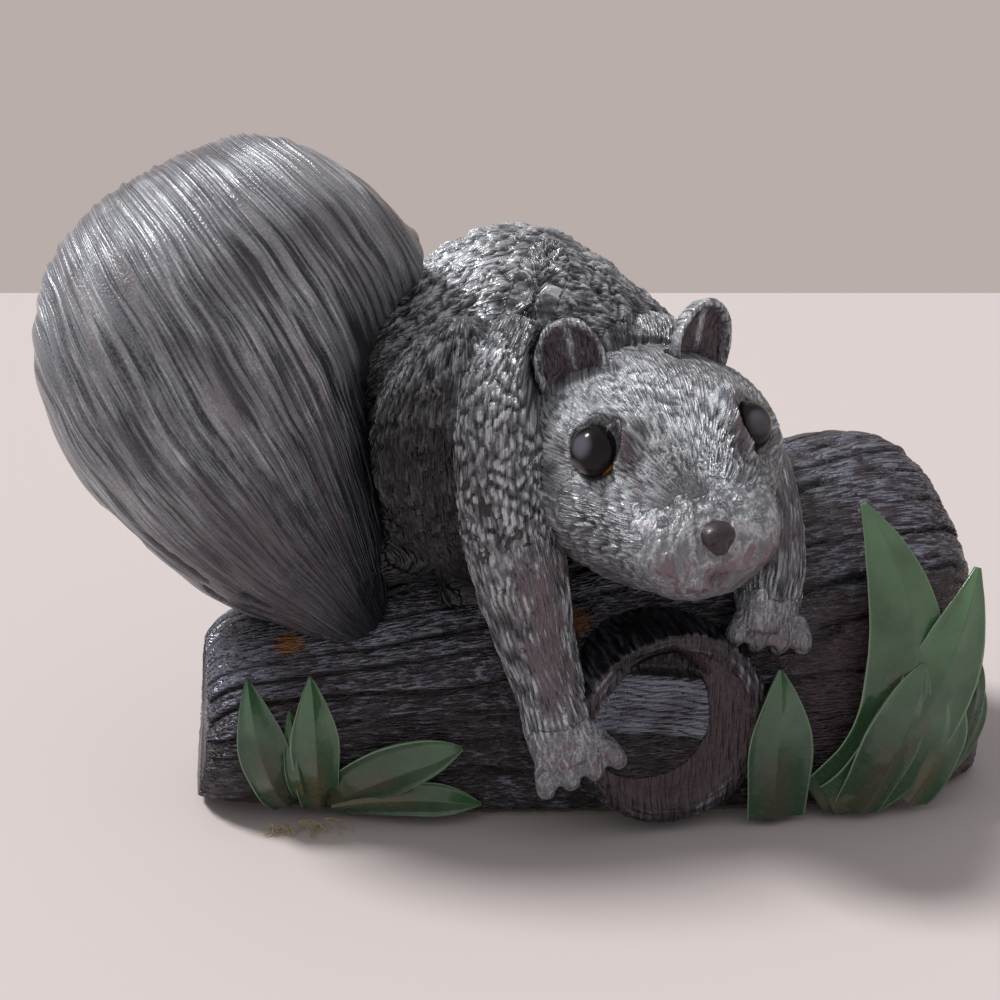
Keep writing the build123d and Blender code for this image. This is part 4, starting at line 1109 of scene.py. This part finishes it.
def make_eye(name, side):
    """A glass dome, half a flattened ball on a short barrel, and the painted disc behind it."""
    place, axis = eye_place(side)
    radius = EYE_DIAMETER / 2 * EYE_SHOWN_SHARE
    turn = np.linspace(0, np.pi / 2, 25)[:-1]
    dome = [(-EYE_SEAT_DEPTH + 0.1, radius * 0.96), (-EYE_SEAT_DEPTH + 0.4, radius)]
    dome += [(radius * EYE_BULGE_SHARE * math.sin(t), radius * math.cos(t)) for t in turn]
    glass = turned(f"eye_{name}_dome", place, axis, dome, 64)
    floor = -EYE_SEAT_DEPTH
    disc = [(floor - 0.8, radius * 0.99), (floor - 0.05, radius * 0.99), (floor, radius * 0.97), (floor, 0.2)]
    disc = turned(f"eye_{name}_painted_back", place, axis, eased(disc, 12), 64)
    rel = unit(points_of(glass) - place)
    # Ways in the head's directions: the painted reflections on the outer side and low round the rim, the
    # amber crescent, and the forward tone
    ways = {
        "painted_reflection": (0.35 + 0.45 * side, 0.50, 0.60 - 0.25 * side), "low": (side * 0.80, -0.58, 0.15),
        "amber": (-side * 0.62, -0.62, 0.45), "front": (-side * 0.1, -0.1, 1.0),
    }
    basis = np.array((HeadFrame.right, HeadFrame.up, HeadFrame.forward))
    mark(glass, **{key: rel @ unit(np.array(way) @ basis) for key, way in ways.items()})
    rel = points_of(disc) - place
    off = np.linalg.norm(rel - axis * (rel @ axis)[:, None], axis=1) / radius
    inner = -side * HeadFrame.right * 0.75 - HeadFrame.up * 0.66
    mark(disc, out=off, lean=rel @ inner / radius / np.maximum(off, 0.05))
    return glass, disc


def make_ear(name, side):
    """A cupped ear: its outline steps forward from the back, over the rim and down into the cup."""
    place, across, up, facing = ear_place(side)
    profile = [(-EAR_THICKNESS, 0.30), (-EAR_THICKNESS * 0.95, 0.60), (-EAR_THICKNESS * 0.75, 0.84)]
    profile += [(-EAR_THICKNESS * 0.4, 0.96), (0, 1.0), (0.5, 0.96), (0.35, 0.88), (-0.6, 0.80)]
    profile += [(-EAR_CUP_DEPTH * 0.8, 0.62), (-EAR_CUP_DEPTH, 0.35), (-EAR_CUP_DEPTH, 0.06)]
    rows = eased(profile, EAR_STEPS)
    turn = 2 * np.pi * np.arange(EAR_SIDES) / EAR_SIDES
    point = 0.99 - 0.04 * np.cos(2 * turn)
    rise = EAR_HEIGHT / 2 * rows[:, 1]
    half = EAR_WIDTH / 2 * rows[:, 1]
    grid = rings(place + facing * rows[:, :1], across, up, half, rise, rise, EAR_SIDES)
    middle = (place + facing * rows[:, :1])[:, None]
    grid = middle + (grid - middle) * point[:, None]
    past_rim = np.arange(len(rows)) > EAR_RIM_ROW * EAR_STEPS
    inside = (smooth(0.86, 0.72, rows[:, 1]) * past_rim)[:, None]
    high = (grid - middle) @ up / EAR_HEIGHT
    wide = (grid - middle) @ across / EAR_WIDTH
    folds = strokes(wide * 9 + 1.4 * fractal(grid, 3.5, 303), high * 1.5, 305 + side)
    fur = strokes(turn * 7 + 1.2 * fractal(grid, 3.0, 301), rows[:, 1:] * 2.2 + 0 * turn, 301 + side)
    coat = mixed(mixed(0.5, fur, 0.45), folds, inside)
    lift = (0.32 * (coat - 0.4) + 0.45 * fractal(grid, 4.0, 307)) * np.minimum(rows[:, 1:] * 3, 1)
    grid = grid + grid_normals(grid) * lift[..., None]
    thing = make_object(f"ear_{name}_shell", *capped(grid))
    streak = inside * np.exp(-((wide + 0.02) / 0.07) ** 2) * smooth(-0.4, 0.1, high)
    relief = np.clip(coat * (1 - 0.5 * inside) + 0.5 * streak + 0.2, 0, 1)
    shade = np.clip(0.40 * inside * (1 - streak) * (1 - 0.5 * coat), 0, 1)
    comb = np.stack([wide * EAR_WIDTH, 0 * wide, high * EAR_HEIGHT], -1)
    skin = 0.85 * inside * (1 - 0.7 * streak)
    mark(thing, relief=over_ends(relief, 0.3, 0.3), shade=over_ends(shade, 0.3, 0.5),
         skin=over_ends(skin, 0.3, 0.8), comb=over_ends(comb, 0, 0))
    return thing


def make_nose():
    """The nose button, a rounded triangle wide above and pointed below, with two nostrils and a
    groove between them."""
    middle = HeadFrame.at(1, 0, NOSE_HEIGHT_SHARE)
    profile = [(-1.0, 0.80), (-0.3, 1.0), (0.10, 0.96), (0.34, 0.78), (0.47, 0.46), (0.5, 0.05)]
    ahead, full = eased(profile, 12).T
    half = NOSE_WIDTH / 2 * full
    rise = NOSE_HEIGHT / 2 * full
    centres = middle + HeadFrame.forward * (NOSE_DEPTH * ahead)[:, None]
    grid = rings(centres, HeadFrame.right, HeadFrame.up, half, rise, rise, 96)
    side, high = (grid - middle) @ HeadFrame.right, (grid - middle) @ HeadFrame.up
    narrow = 0.5 * smooth(0.6, -1.0, high / NOSE_HEIGHT * 2)
    grid = grid - HeadFrame.right * (side * narrow)[..., None]
    side = np.abs((grid - middle) @ HeadFrame.right)
    dent = 0.8 * np.exp(-((side - 1.5) / 0.6) ** 2 - ((high + 0.3) / 0.7) ** 2)
    dent = dent + 0.3 * np.exp(-(side / 0.35) ** 2) * smooth(0.2, -0.8, high)
    grid = grid - HeadFrame.forward * (dent * smooth(-0.2, 0.2, ahead)[:, None])[..., None]
    return make_object("nose_button", *capped(grid))


def make_tail():
    """The brush: sections that fan round from the root to the curled tip. Its fur runs in lanes that
    leave the root, bulge outwards and end on the crest; a lane is the angle about the root over a
    spread that shrinks with the distance from it."""
    rows = eased(TAIL_SHARES, TAIL_STEPS)
    foot = np.array((*TAIL_AT, float(log_top(TAIL_AT[0] + TAIL_LENGTH)) - TAIL_SINK))
    inner = foot + TAIL_LENGTH * rows[:, :1] * X + TAIL_HEIGHT * rows[:, 1:2] * Z
    outer = foot + TAIL_LENGTH * rows[:, 2:3] * X + TAIL_HEIGHT * rows[:, 3:4] * Z
    reach = np.linalg.norm(outer - inner, axis=1)
    width = TAIL_HALF_WIDTH * rows[:, 4]
    heading = (outer - inner) / reach[:, None]
    grid = rings((inner + outer) / 2, heading, -Y, reach / 2, width, width, TAIL_SIDES)
    normal = grid_normals(grid)
    x = grid[..., 0] - (foot[0] + TAIL_FAN_SHARE * TAIL_LENGTH)
    z = grid[..., 2] - (foot[2] - TAIL_FAN_DEPTH)
    far = np.hypot(x, z) / TAIL_HEIGHT
    angle = np.degrees(np.arctan2(z, x))
    spread = TAIL_FAN_SPREAD * (1 - 0.60 * np.clip(far, 0, 1.1) ** 1.6)
    lane = (angle - TAIL_FAN_TURN) / spread + 0.05 * fractal(grid, 18.0, 401)
    drift = 0.5 * fractal(grid, 20.0, 403)
    fur, locks, gouges = (
        strokes(lane * lanes, far * runs + drift, seed)
        for (lanes, runs), seed in ((TAIL_FUR, 405), (TAIL_LOCKS, 417), (TAIL_GOUGES, 423)))
    bare = smooth(0.66, 0.34, far)
    outline = smooth(141, 150, angle) * smooth(0.05, 0.2, far) * smooth(0.75, 0.55, far)
    gouge = smooth(0.60, 0.85, gouges) * (0.2 * bare + outline)
    ends = np.minimum(np.arange(len(rows)) / 16, 1)[:, None]
    lift = TAIL_FUR_HEIGHT * (fur - 0.4) * (1 - 0.5 * bare) + TAIL_LOCK_HEIGHT * (locks - 0.5)
    lift = lift - TAIL_GOUGE_DEPTH * np.clip(gouge, 0, 1)
    lift = lift + 0.8 * fractal(grid, 15.0, 427)
    grid = grid + normal * (lift * ends)[..., None]
    thing = make_object("tail_brush", *capped(grid, TAIL_END_RINGS))
    # Painted shade on the right edge, in the hollow against the body; also darker in the gouges and a little
    # over the bare lower part
    right = smooth(-17, -4, x) * smooth(0.95, 0.6, far)
    shade = np.clip(0.75 * right + 0.2 * bare + np.clip(gouge, 0, 1), 0, 1)
    # Painted highlight: the tail's faces toward the upper left are painted lighter
    lit = smooth(0.1, 0.95, normal @ unit(LIT_WAY))
    relief = np.clip(0.34 * fur + 0.06 * locks + 0.25 + 0.36 * lit, 0, 1)
    comb = np.stack([lane * 20, 0 * lane, far * TAIL_HEIGHT], -1)
    marks = {"relief": (relief, 0.6), "shade": (shade, 0), "skin": (0.62 * bare, 0), "comb": (comb, 0)}
    for key, (value, end) in marks.items():
        mark(thing, **{key: over_ends(value, end, end, TAIL_END_RINGS)})
    return thing


def make_leg(name):
    """A foreleg with its paw: silver scales of fur above, and below long strokes at both sides of a
    bare strip down its front."""
    forms = leg_forms(name)
    end = unit(forms[0].centres[-1] - forms[0].centres[-3])
    beside = unit(np.cross(end, -Y))
    path = forms[0].centres[-1] + end * np.linspace(*WEB_REACH, WEB_STEPS)[:, None]
    half = np.linspace(*WEB_HALF_WIDTHS, WEB_STEPS)
    web = Form(path, beside, np.cross(beside, end), half, TOE_RADIUS, WEB_DROP, 32)
    thing = merged(f"foreleg_{name}_skin", [capped(form.grid) for form in forms + [web]], *FORELEG_SKIN)
    points, normals = points_of(thing), normals_of(thing)
    along, turn = forms[0].flow(points)[:2]
    share = along / forms[0].length[-1]
    fur = fur_lift(points, forms[:1], *FORELEG_STROKES, 501)
    scales = fur_lift(points, forms[:1], *FORELEG_SCALES, 521)
    low = smooth(0.40, 0.60, share) if name == "right" else smooth(0.2, 0.5, share)
    coat = mixed(scales, fur, low)
    strip = smooth(0.60, 1.0, np.sin(turn - 0.12) + 0.25 * fractal(points, 4.0, 523)) * low
    strip = strip * smooth(0.98, 0.80, share)
    tips = smooth(0.90, 0.96, share)
    coat = mixed(coat, 0.5, 0.8 * tips)
    lift = FORELEG_FUR_HEIGHT * (coat - 0.45) * (1 - 0.7 * strip)
    place_points(thing, behind_ears(points + normals * lift[:, None], 14))
    skin = strip * (0.72 if name == "right" else 0.4) + 0.3 * tips
    # Painted shade on the leg's underside; also darker in the fur's grooves
    shade = 0.25 * smooth(0.35, 0.10, coat) * (1 - strip) + 0.3 * smooth(0.2, -0.5, normals[:, 2])
    plain = (tips + 0.5 * fractal(points, 2.0, 525))[:, None] > 0.3
    comb = np.where(plain, points * (0.5, 0.5, 1.6), comb_of(points, forms[:1]))
    mark(thing, relief=np.clip(coat + 0.1, 0, 1), shade=np.clip(shade, 0, 1), skin=skin, comb=comb)
    return thing


def make_leaf(name, cluster, number):
    """A blade: sections along a bowed midrib, creased along it, each half a little hollow and its
    edge turned up, over a back that is a wedge into the log."""
    root, middle, tip, half_share = LEAF_SHARES[cluster][number]
    ends = []
    for along, out, up in (root, middle, tip):
        x = LEAF_AT_X[cluster] + LEAF_REACH * along
        ends.append(np.array((x, -log_half_width(x) - LEAF_REACH * out, PAD_THICKNESS + LEAF_REACH * up)))
    bow = ends[1] * 2 - (ends[0] + ends[2]) / 2
    along, full = eased(LEAF_OUTLINE_SHARES, LEAF_STEPS).T[..., None]
    rest = 1 - along
    centres = ends[0] * rest ** 2 + bow * (2 * rest * along) + ends[2] * along ** 2
    heading = (bow - ends[0]) * rest + (ends[2] - bow) * along
    across = unit(np.cross(heading, -Y))
    out = unit(np.cross(across, heading))
    side = np.linspace(-1, 1, LEAF_ACROSS)
    half = LEAF_REACH * half_share * full
    reach = half * side * (1 + 0.03 * np.sin(along * 13 + 2 * number) * np.abs(side) ** 2)
    crease = 0.18 * np.sin(1.7 * number)
    away = np.abs(side - crease) / (1 + np.sign(side - crease) * -crease)
    lift = LEAF_FOLD * (1.7 * (1 - away) ** 1.5 + 0.45 * smooth(0.72, 1.0, away))
    lift = lift * np.minimum(full * 1.6, 1) + 0.5 * np.sin(along * 5 + 2 * number) * side
    place = centres[:, None] + across[:, None] * reach[..., None]
    lift = lift + 0.22 * fractal(place, 5.0, 551 + number)
    front = place + out[:, None] * lift[..., None]
    deep = LEAF_ROOT_DEPTH * full
    low = np.linspace(1, -1, LEAF_UNDER)[1:-1]
    back = centres[:, None] + across[:, None] * (half * low * 0.9)[..., None]
    back = back - out[:, None] * (deep * (1 - np.abs(low)) + 0.9)[..., None]
    grid = np.concatenate([front, back], axis=1)
    grid[..., 2] = np.maximum(grid[..., 2], PAD_THICKNESS + 0.05)
    thing = make_object(name, *capped(grid))
    shown = np.concatenate([np.ones_like(reach), np.zeros((len(along), len(low)))], axis=1)
    edge = np.concatenate([away + 0 * along, np.ones((len(along), len(low)))], axis=1)
    length = along + 0 * edge
    mark(thing, edge=over_ends(edge), length=over_ends(length), shown=over_ends(shown))
    return thing


def make_pad():
    """The felt under the log: its flat outline, set back from the log's edge, with a soft edge."""
    table = LOG_SHARES[2:-1]
    xs = LOG_LENGTH * (table[:, 0] - 0.5)
    fine = np.linspace(xs[0], xs[-1], PAD_STEPS)
    half = np.interp(fine, xs, log_half_width(xs) * table[:, 3]) - PAD_INSET
    edge = np.concatenate([np.stack([fine, -half], 1), np.stack([fine[::-1], half[::-1]], 1)])
    edge = np.concatenate([edge, np.zeros((len(edge), 1))], 1)
    fuzz = 0.35 * fractal(edge, 1.1, 601)
    way = unit(edge * (1, 1, 0))
    levels = []
    for height, grow in PAD_LEVELS:
        rough = fuzz + 0.3 * fractal(edge + Z * height * 9, 0.7, 607)
        levels.append(edge + way * (grow + rough)[:, None] + Z * height)
    return make_object("felt_pad", *capped(np.array(levels), PAD_END_RINGS))


def make_wisps():
    """Frayed fibres of the felt on the floor: each a thin tube along a bowed line from under the log,
    with its middle lifted, six sides round, and a cone at both ends."""
    number = np.arange(WISP_COUNT)
    first, second, third = (chance(number, seed) for seed in (701, 703, 705))
    x = mixed(*WISP_X, first)
    start = np.stack([x, 1.0 - log_half_width(x), 0.5 + 1.6 * second], 1)
    way = np.stack([mixed(-0.9, 1.0, second), mixed(-0.9, -0.25, third), 0 * first], 1)
    end = start + unit(way) * mixed(2, 5, first)[:, None]
    end[:, 2] = 0.3
    middle = (start + end) / 2 + np.stack([2.4 * (third - 0.5), 2 * (first - 0.5), 0.4 + 1.6 * second], 1)
    share = np.linspace(0, 1, WISP_STEPS)[:, None, None]
    lines = start * (1 - share) ** 2 + middle * (2 * share * (1 - share)) + end * share ** 2
    radius = WISP_RADIUS * (1 - 0.5 * share.ravel())
    points, faces = [], []
    for line in lines.swapaxes(0, 1):
        along = unit(np.gradient(line, axis=0))
        across = unit(np.cross(along, Z))
        tube = rings(line, across, np.cross(across, along), radius, radius, radius, WISP_SIDES)
        some, some_faces = capped(tube)
        faces += [[corner + sum(map(len, points)) for corner in face] for face in some_faces]
        points.append(some)
    return make_object("felt_wisps", np.concatenate(points), faces)


# More paints

# Colours laid over the eye's pupil, the first two painted reflections, on its outer side and low round its
# rim, and the third a plum tone where it faces forward: their mark, their colour, where they start and where
# they are full, and their largest share
EYE_COATS = (
    ("painted_reflection", "716e79", 0.76, 1.0, 0.6),
    ("low", "8d8288", 0.84, 0.98, 0.5),
    ("front", "24151b", 0.60, 1.0, 0.3),
)


def eye_material():
    """Enamel under a polished dome of glass: a wide brown-purple pupil, a painted lilac-grey reflection on
    its outer side, a painted pale reflection low round its rim and an amber crescent low on its inner side,
    under a clear coat."""
    material, tree = new_material("enamel_under_glass")
    colour = linear("0c070a")
    for key, code, low, high, most in EYE_COATS:
        value = add(tree, "Attribute", output="Fac", attribute_name=key)
        colour = laid(tree, colour, linear(code), value, low, high, most)
    amber = add(tree, "Attribute", output="Fac", attribute_name="amber")
    colour = laid(tree, colour, linear("b9812c"), summed(tree, amber, grain(tree, 0.5), 0.08), 0.80, 0.90)
    keys = {"Base Color": colour, "Roughness": 0.4, "Specular IOR Level": 0.05}
    keys.update({"Coat Weight": 0.5, "Coat Roughness": 0.06, "Coat IOR": 1.4})
    add(tree, "OutputMaterial", {"Surface": add(tree, "BsdfPrincipled", keys)})
    return material


def iris_material():
    """Enamel on the back of the glass: a wide brown-purple pupil, a painted lilac-grey reflection on its
    outer side and an amber crescent low on its inner side."""
    material, tree = new_material("iris_enamel")
    out, lean = (
        add(tree, "Attribute", output="Fac", attribute_name=key) for key in ("out", "lean"))
    colour = laid(tree, linear("160d12"), linear("3a2a33"), out, 0.25, 0.80)
    painted_reflection = laid(tree, linear("3a2a33"), linear("a59fa8"), out, 0.35, 0.95)
    colour = laid(tree, colour, painted_reflection, lean, -0.1, -0.9)
    amber = laid(tree, colour, linear("c98a2e"), lean, 0.35, 0.75)
    colour = laid(tree, colour, amber, summed(tree, out, grain(tree, 0.5), 0.1), 0.66, 0.74)
    shader = add(tree, "BsdfPrincipled", {"Base Color": colour, "Roughness": 0.3})
    add(tree, "OutputMaterial", {"Surface": shader})
    return material


def nose_material():
    """Dark plum enamel on the nose, satin, with a little grain."""
    material, tree = new_material("nose_enamel")
    fine = grain(tree, 0.6)
    colour = add(tree, "Mix", {0: fine, 6: linear("211a1e"), 7: linear("43373e")}, 2, **COLOURS)
    bump = add(tree, "Bump", {"Height": fine, "Strength": 0.3, "Distance": 0.2 * MM})
    keys = {"Base Color": colour, "Roughness": 0.42, "Specular IOR Level": 0.35, "Normal": bump}
    keys["Coat Weight"] = 0.15
    add(tree, "OutputMaterial", {"Surface": add(tree, "BsdfPrincipled", keys)})
    return material


def leaf_material(name, base, pale, olive):
    """Glossy green paint over the cast leaf: olive-brown low on its middle, paler towards its tip and
    a thin pale edge, dark on its sides and underside."""
    material, tree = new_material(name)
    fine, broad = grain(tree, 1.1), grain(tree, 8.0, 2.0)
    length, edge, shown = (
        add(tree, "Attribute", output="Fac", attribute_name=key)
        for key in ("length", "edge", "shown"))
    length = summed(tree, length, broad, 0.7)
    colour = laid(tree, linear(base), linear(pale), length, 0.45, 1.0)
    low, central = (
        add(tree, "MapRange", {"Value": value, "From Min": 0.6, "From Max": end}, **S_CURVE)
        for value, end in ((length, 0.35), (edge, 0.25)))
    low = add(tree, "Math", {0: low, 1: central}, operation="MULTIPLY")
    colour = add(tree, "Mix", {0: low, 6: colour, 7: linear(olive)}, 2, **COLOURS)
    colour = laid(tree, colour, linear(pale), fine, 0.55, 0.75, 0.35)
    colour = laid(tree, colour, linear("8da487"), edge, 0.93, 0.99, 0.7)
    colour = add(tree, "Mix", {0: shown, 6: linear("1c2b1f"), 7: colour}, 2, **COLOURS)
    bump = add(tree, "Bump", {"Height": fine, "Strength": 0.35, "Distance": 0.25 * MM})
    keys = {"Base Color": colour, "Roughness": summed(tree, 0.27, fine, 0.3), "Normal": bump}
    keys.update({"Coat Weight": 0.5, "Coat Roughness": 0.10})
    add(tree, "OutputMaterial", {"Surface": add(tree, "BsdfPrincipled", keys)})
    return material


def felt_material():
    """Brown wool felt: no shine, and a mottle of fibres about half a millimetre long."""
    material, tree = new_material("wool_felt")
    fine = grain(tree, 0.5)
    colour = add(tree, "Mix", {0: fine, 6: linear("2a201a"), 7: linear("6b5443")}, 2, **COLOURS)
    bump = add(tree, "Bump", {"Height": fine, "Strength": 0.8, "Distance": 0.4 * MM})
    keys = {"Base Color": colour, "Roughness": 0.95, "Normal": bump, "Sheen Weight": 0.4}
    add(tree, "OutputMaterial", {"Surface": add(tree, "BsdfPrincipled", keys)})
    return material


def fibre_material():
    """Straw-coloured wool fibres: matt, each a little lighter or darker along it."""
    material, tree = new_material("wool_fibres")
    share = grain(tree, 2.0)
    colour = add(tree, "Mix", {0: share, 6: linear("8a7350"), 7: linear("c2ab82")}, 2, **COLOURS)
    shader = add(tree, "BsdfPrincipled", {"Base Color": colour, "Roughness": 0.8})
    add(tree, "OutputMaterial", {"Surface": shader})
    return material


# The object

dress(make_log(), bark_paint, "painted_bark", "log")
dress(make_stub(), bark_paint, "painted_end_grain", "branch_stub")
feet = ("hind_foot_right", "hind_foot_left")
dress(make_body(), fur_paint, "painted_fur", "torso", "neck", "haunch_right", "haunch_left", *feet)
dress(make_head(), face_paint, "painted_fur", "head")
dress(make_tail(), tail_paint, "painted_fur", "tail")
glass, iris = eye_material(), iris_material()
for name, side in (("right", 1), ("left", -1)):
    dress(make_leg(name), face_paint, "painted_fur", f"foreleg_{name}")
    dress(make_ear(name, side), fur_paint, "painted_fur", f"ear_{name}")
    dome, disc = make_eye(name, side)
    dress(dome, glass, "eye_glass", f"eye_{name}")
    dress(disc, iris, "iris_paint", f"iris_{name}")
dress(make_nose(), nose_material(), "painted_nose", "nose")
greens = [
    leaf_material("leaf_paint_bright", "294a2d", "4f724f", "48482b"),
    leaf_material("leaf_paint_deep", "234129", "436547", "383c26"),
]
for cluster, table in LEAF_SHARES.items():
    for number in range(len(table)):
        node = f"leaf_{cluster}_{number + 1}"
        dress(make_leaf(node + "_blade", cluster, number), greens[number % 2], "painted_leaf", node)
pad = dress(make_pad(), felt_material(), "felt", "pad")
dress(make_wisps(), fibre_material(), "felt")


# Stage

# The camera of the photograph: turned 15 degrees to the left of the front and 16 above it
CAMERA_AZIMUTH, CAMERA_ELEVATION = math.radians(-15.0), math.radians(16.0)
CAMERA_DISTANCE = 352.0
CAMERA_TARGET = np.array((-15.5, 0.0, 58.0))
CAMERA_LENS, SENSOR_WIDTH = 61.2, 36.0
ahead = np.array((-math.sin(CAMERA_AZIMUTH), math.cos(CAMERA_AZIMUTH), 0))
aside = np.array((math.cos(CAMERA_AZIMUTH), math.sin(CAMERA_AZIMUTH), 0))

# The floor, in metres: it ends behind the object, where the backdrop's colour starts
FLOOR_BEHIND, FLOOR_HALF = 0.63, 4.0


def floor_material():
    """Matt off-white paint, plain, to hold the object's shadow."""
    material, tree = new_material("floor_paint")
    shader = add(tree, "BsdfPrincipled", {"Base Color": linear("d3c7c3"), "Roughness": 0.7})
    add(tree, "OutputMaterial", {"Surface": shader})
    return material


corners = [
    ahead * deep + aside * wide
    for deep, wide in (
        (-FLOOR_HALF, -FLOOR_HALF), (-FLOOR_HALF, FLOOR_HALF),
        (FLOOR_BEHIND, FLOOR_HALF), (FLOOR_BEHIND, -FLOOR_HALF))]
floor_mesh = bpy.data.meshes.new("floor")
floor_mesh.from_pydata([tuple(corner) for corner in corners], [], [(0, 1, 2, 3)])
floor = bpy.data.objects.new("floor", floor_mesh)
floor.data.materials.append(floor_material())
bpy.context.collection.objects.link(floor)


def sun(name, way, strength, spread, colour):
    """Light from far off in one direction, softened by its spread in degrees."""
    lamp = bpy.data.lights.new(name, "SUN")
    lamp.energy = strength
    lamp.angle = math.radians(spread)
    lamp.color = linear(colour)[:3]
    thing = bpy.data.objects.new(name, lamp)
    thing.rotation_euler = Vector(way).to_track_quat("Z", "Y").to_euler()
    bpy.context.collection.objects.link(thing)


# A soft main light from the upper left behind, and a broad weak one from the front
sun("main_light", (-0.60, 0.30, 0.95), 2.9, 14.0, "fbfdff")
sun("front_light", (-0.45, -0.80, 0.55), 0.45, 150.0, "ffffff")

world = bpy.data.worlds.new("surroundings")
bpy.context.scene.world = world
world.use_nodes = True
tree = world.node_tree
tree.nodes.clear()
# Camera, glass and gloss see the backdrop's colour; paler surroundings light the object
clear = add(tree, "LightPath", output="Is Camera Ray")
for ray in ("Is Transmission Ray", "Is Glossy Ray"):
    clear = add(tree, "Math", {0: clear, 1: add(tree, "LightPath", output=ray)}, operation="MAXIMUM")
pale = add(tree, "Background", {"Color": linear("e6e8ee"), "Strength": 0.38})
backdrop = add(tree, "Background", {"Color": linear("b9aea9"), "Strength": 1.0})
both = add(tree, "MixShader", {0: clear, 1: pale, 2: backdrop})
add(tree, "OutputWorld", {"Surface": both})

camera = bpy.data.objects.new("camera", bpy.data.cameras.new("camera"))
camera.data.lens = CAMERA_LENS
camera.data.sensor_width = SENSOR_WIDTH
camera.data.clip_start = 0.01
back = np.array((
    math.sin(CAMERA_AZIMUTH) * math.cos(CAMERA_ELEVATION),
    -math.cos(CAMERA_AZIMUTH) * math.cos(CAMERA_ELEVATION),
    math.sin(CAMERA_ELEVATION),
))
camera.location = (CAMERA_TARGET + back * CAMERA_DISTANCE) * MM
camera.rotation_euler = (math.pi / 2 - CAMERA_ELEVATION, 0, CAMERA_AZIMUTH)
bpy.context.collection.objects.link(camera)
scene = bpy.context.scene
scene.camera = camera
scene.view_settings.view_transform = "Standard"
scene.render.resolution_x = scene.render.resolution_y = 1000
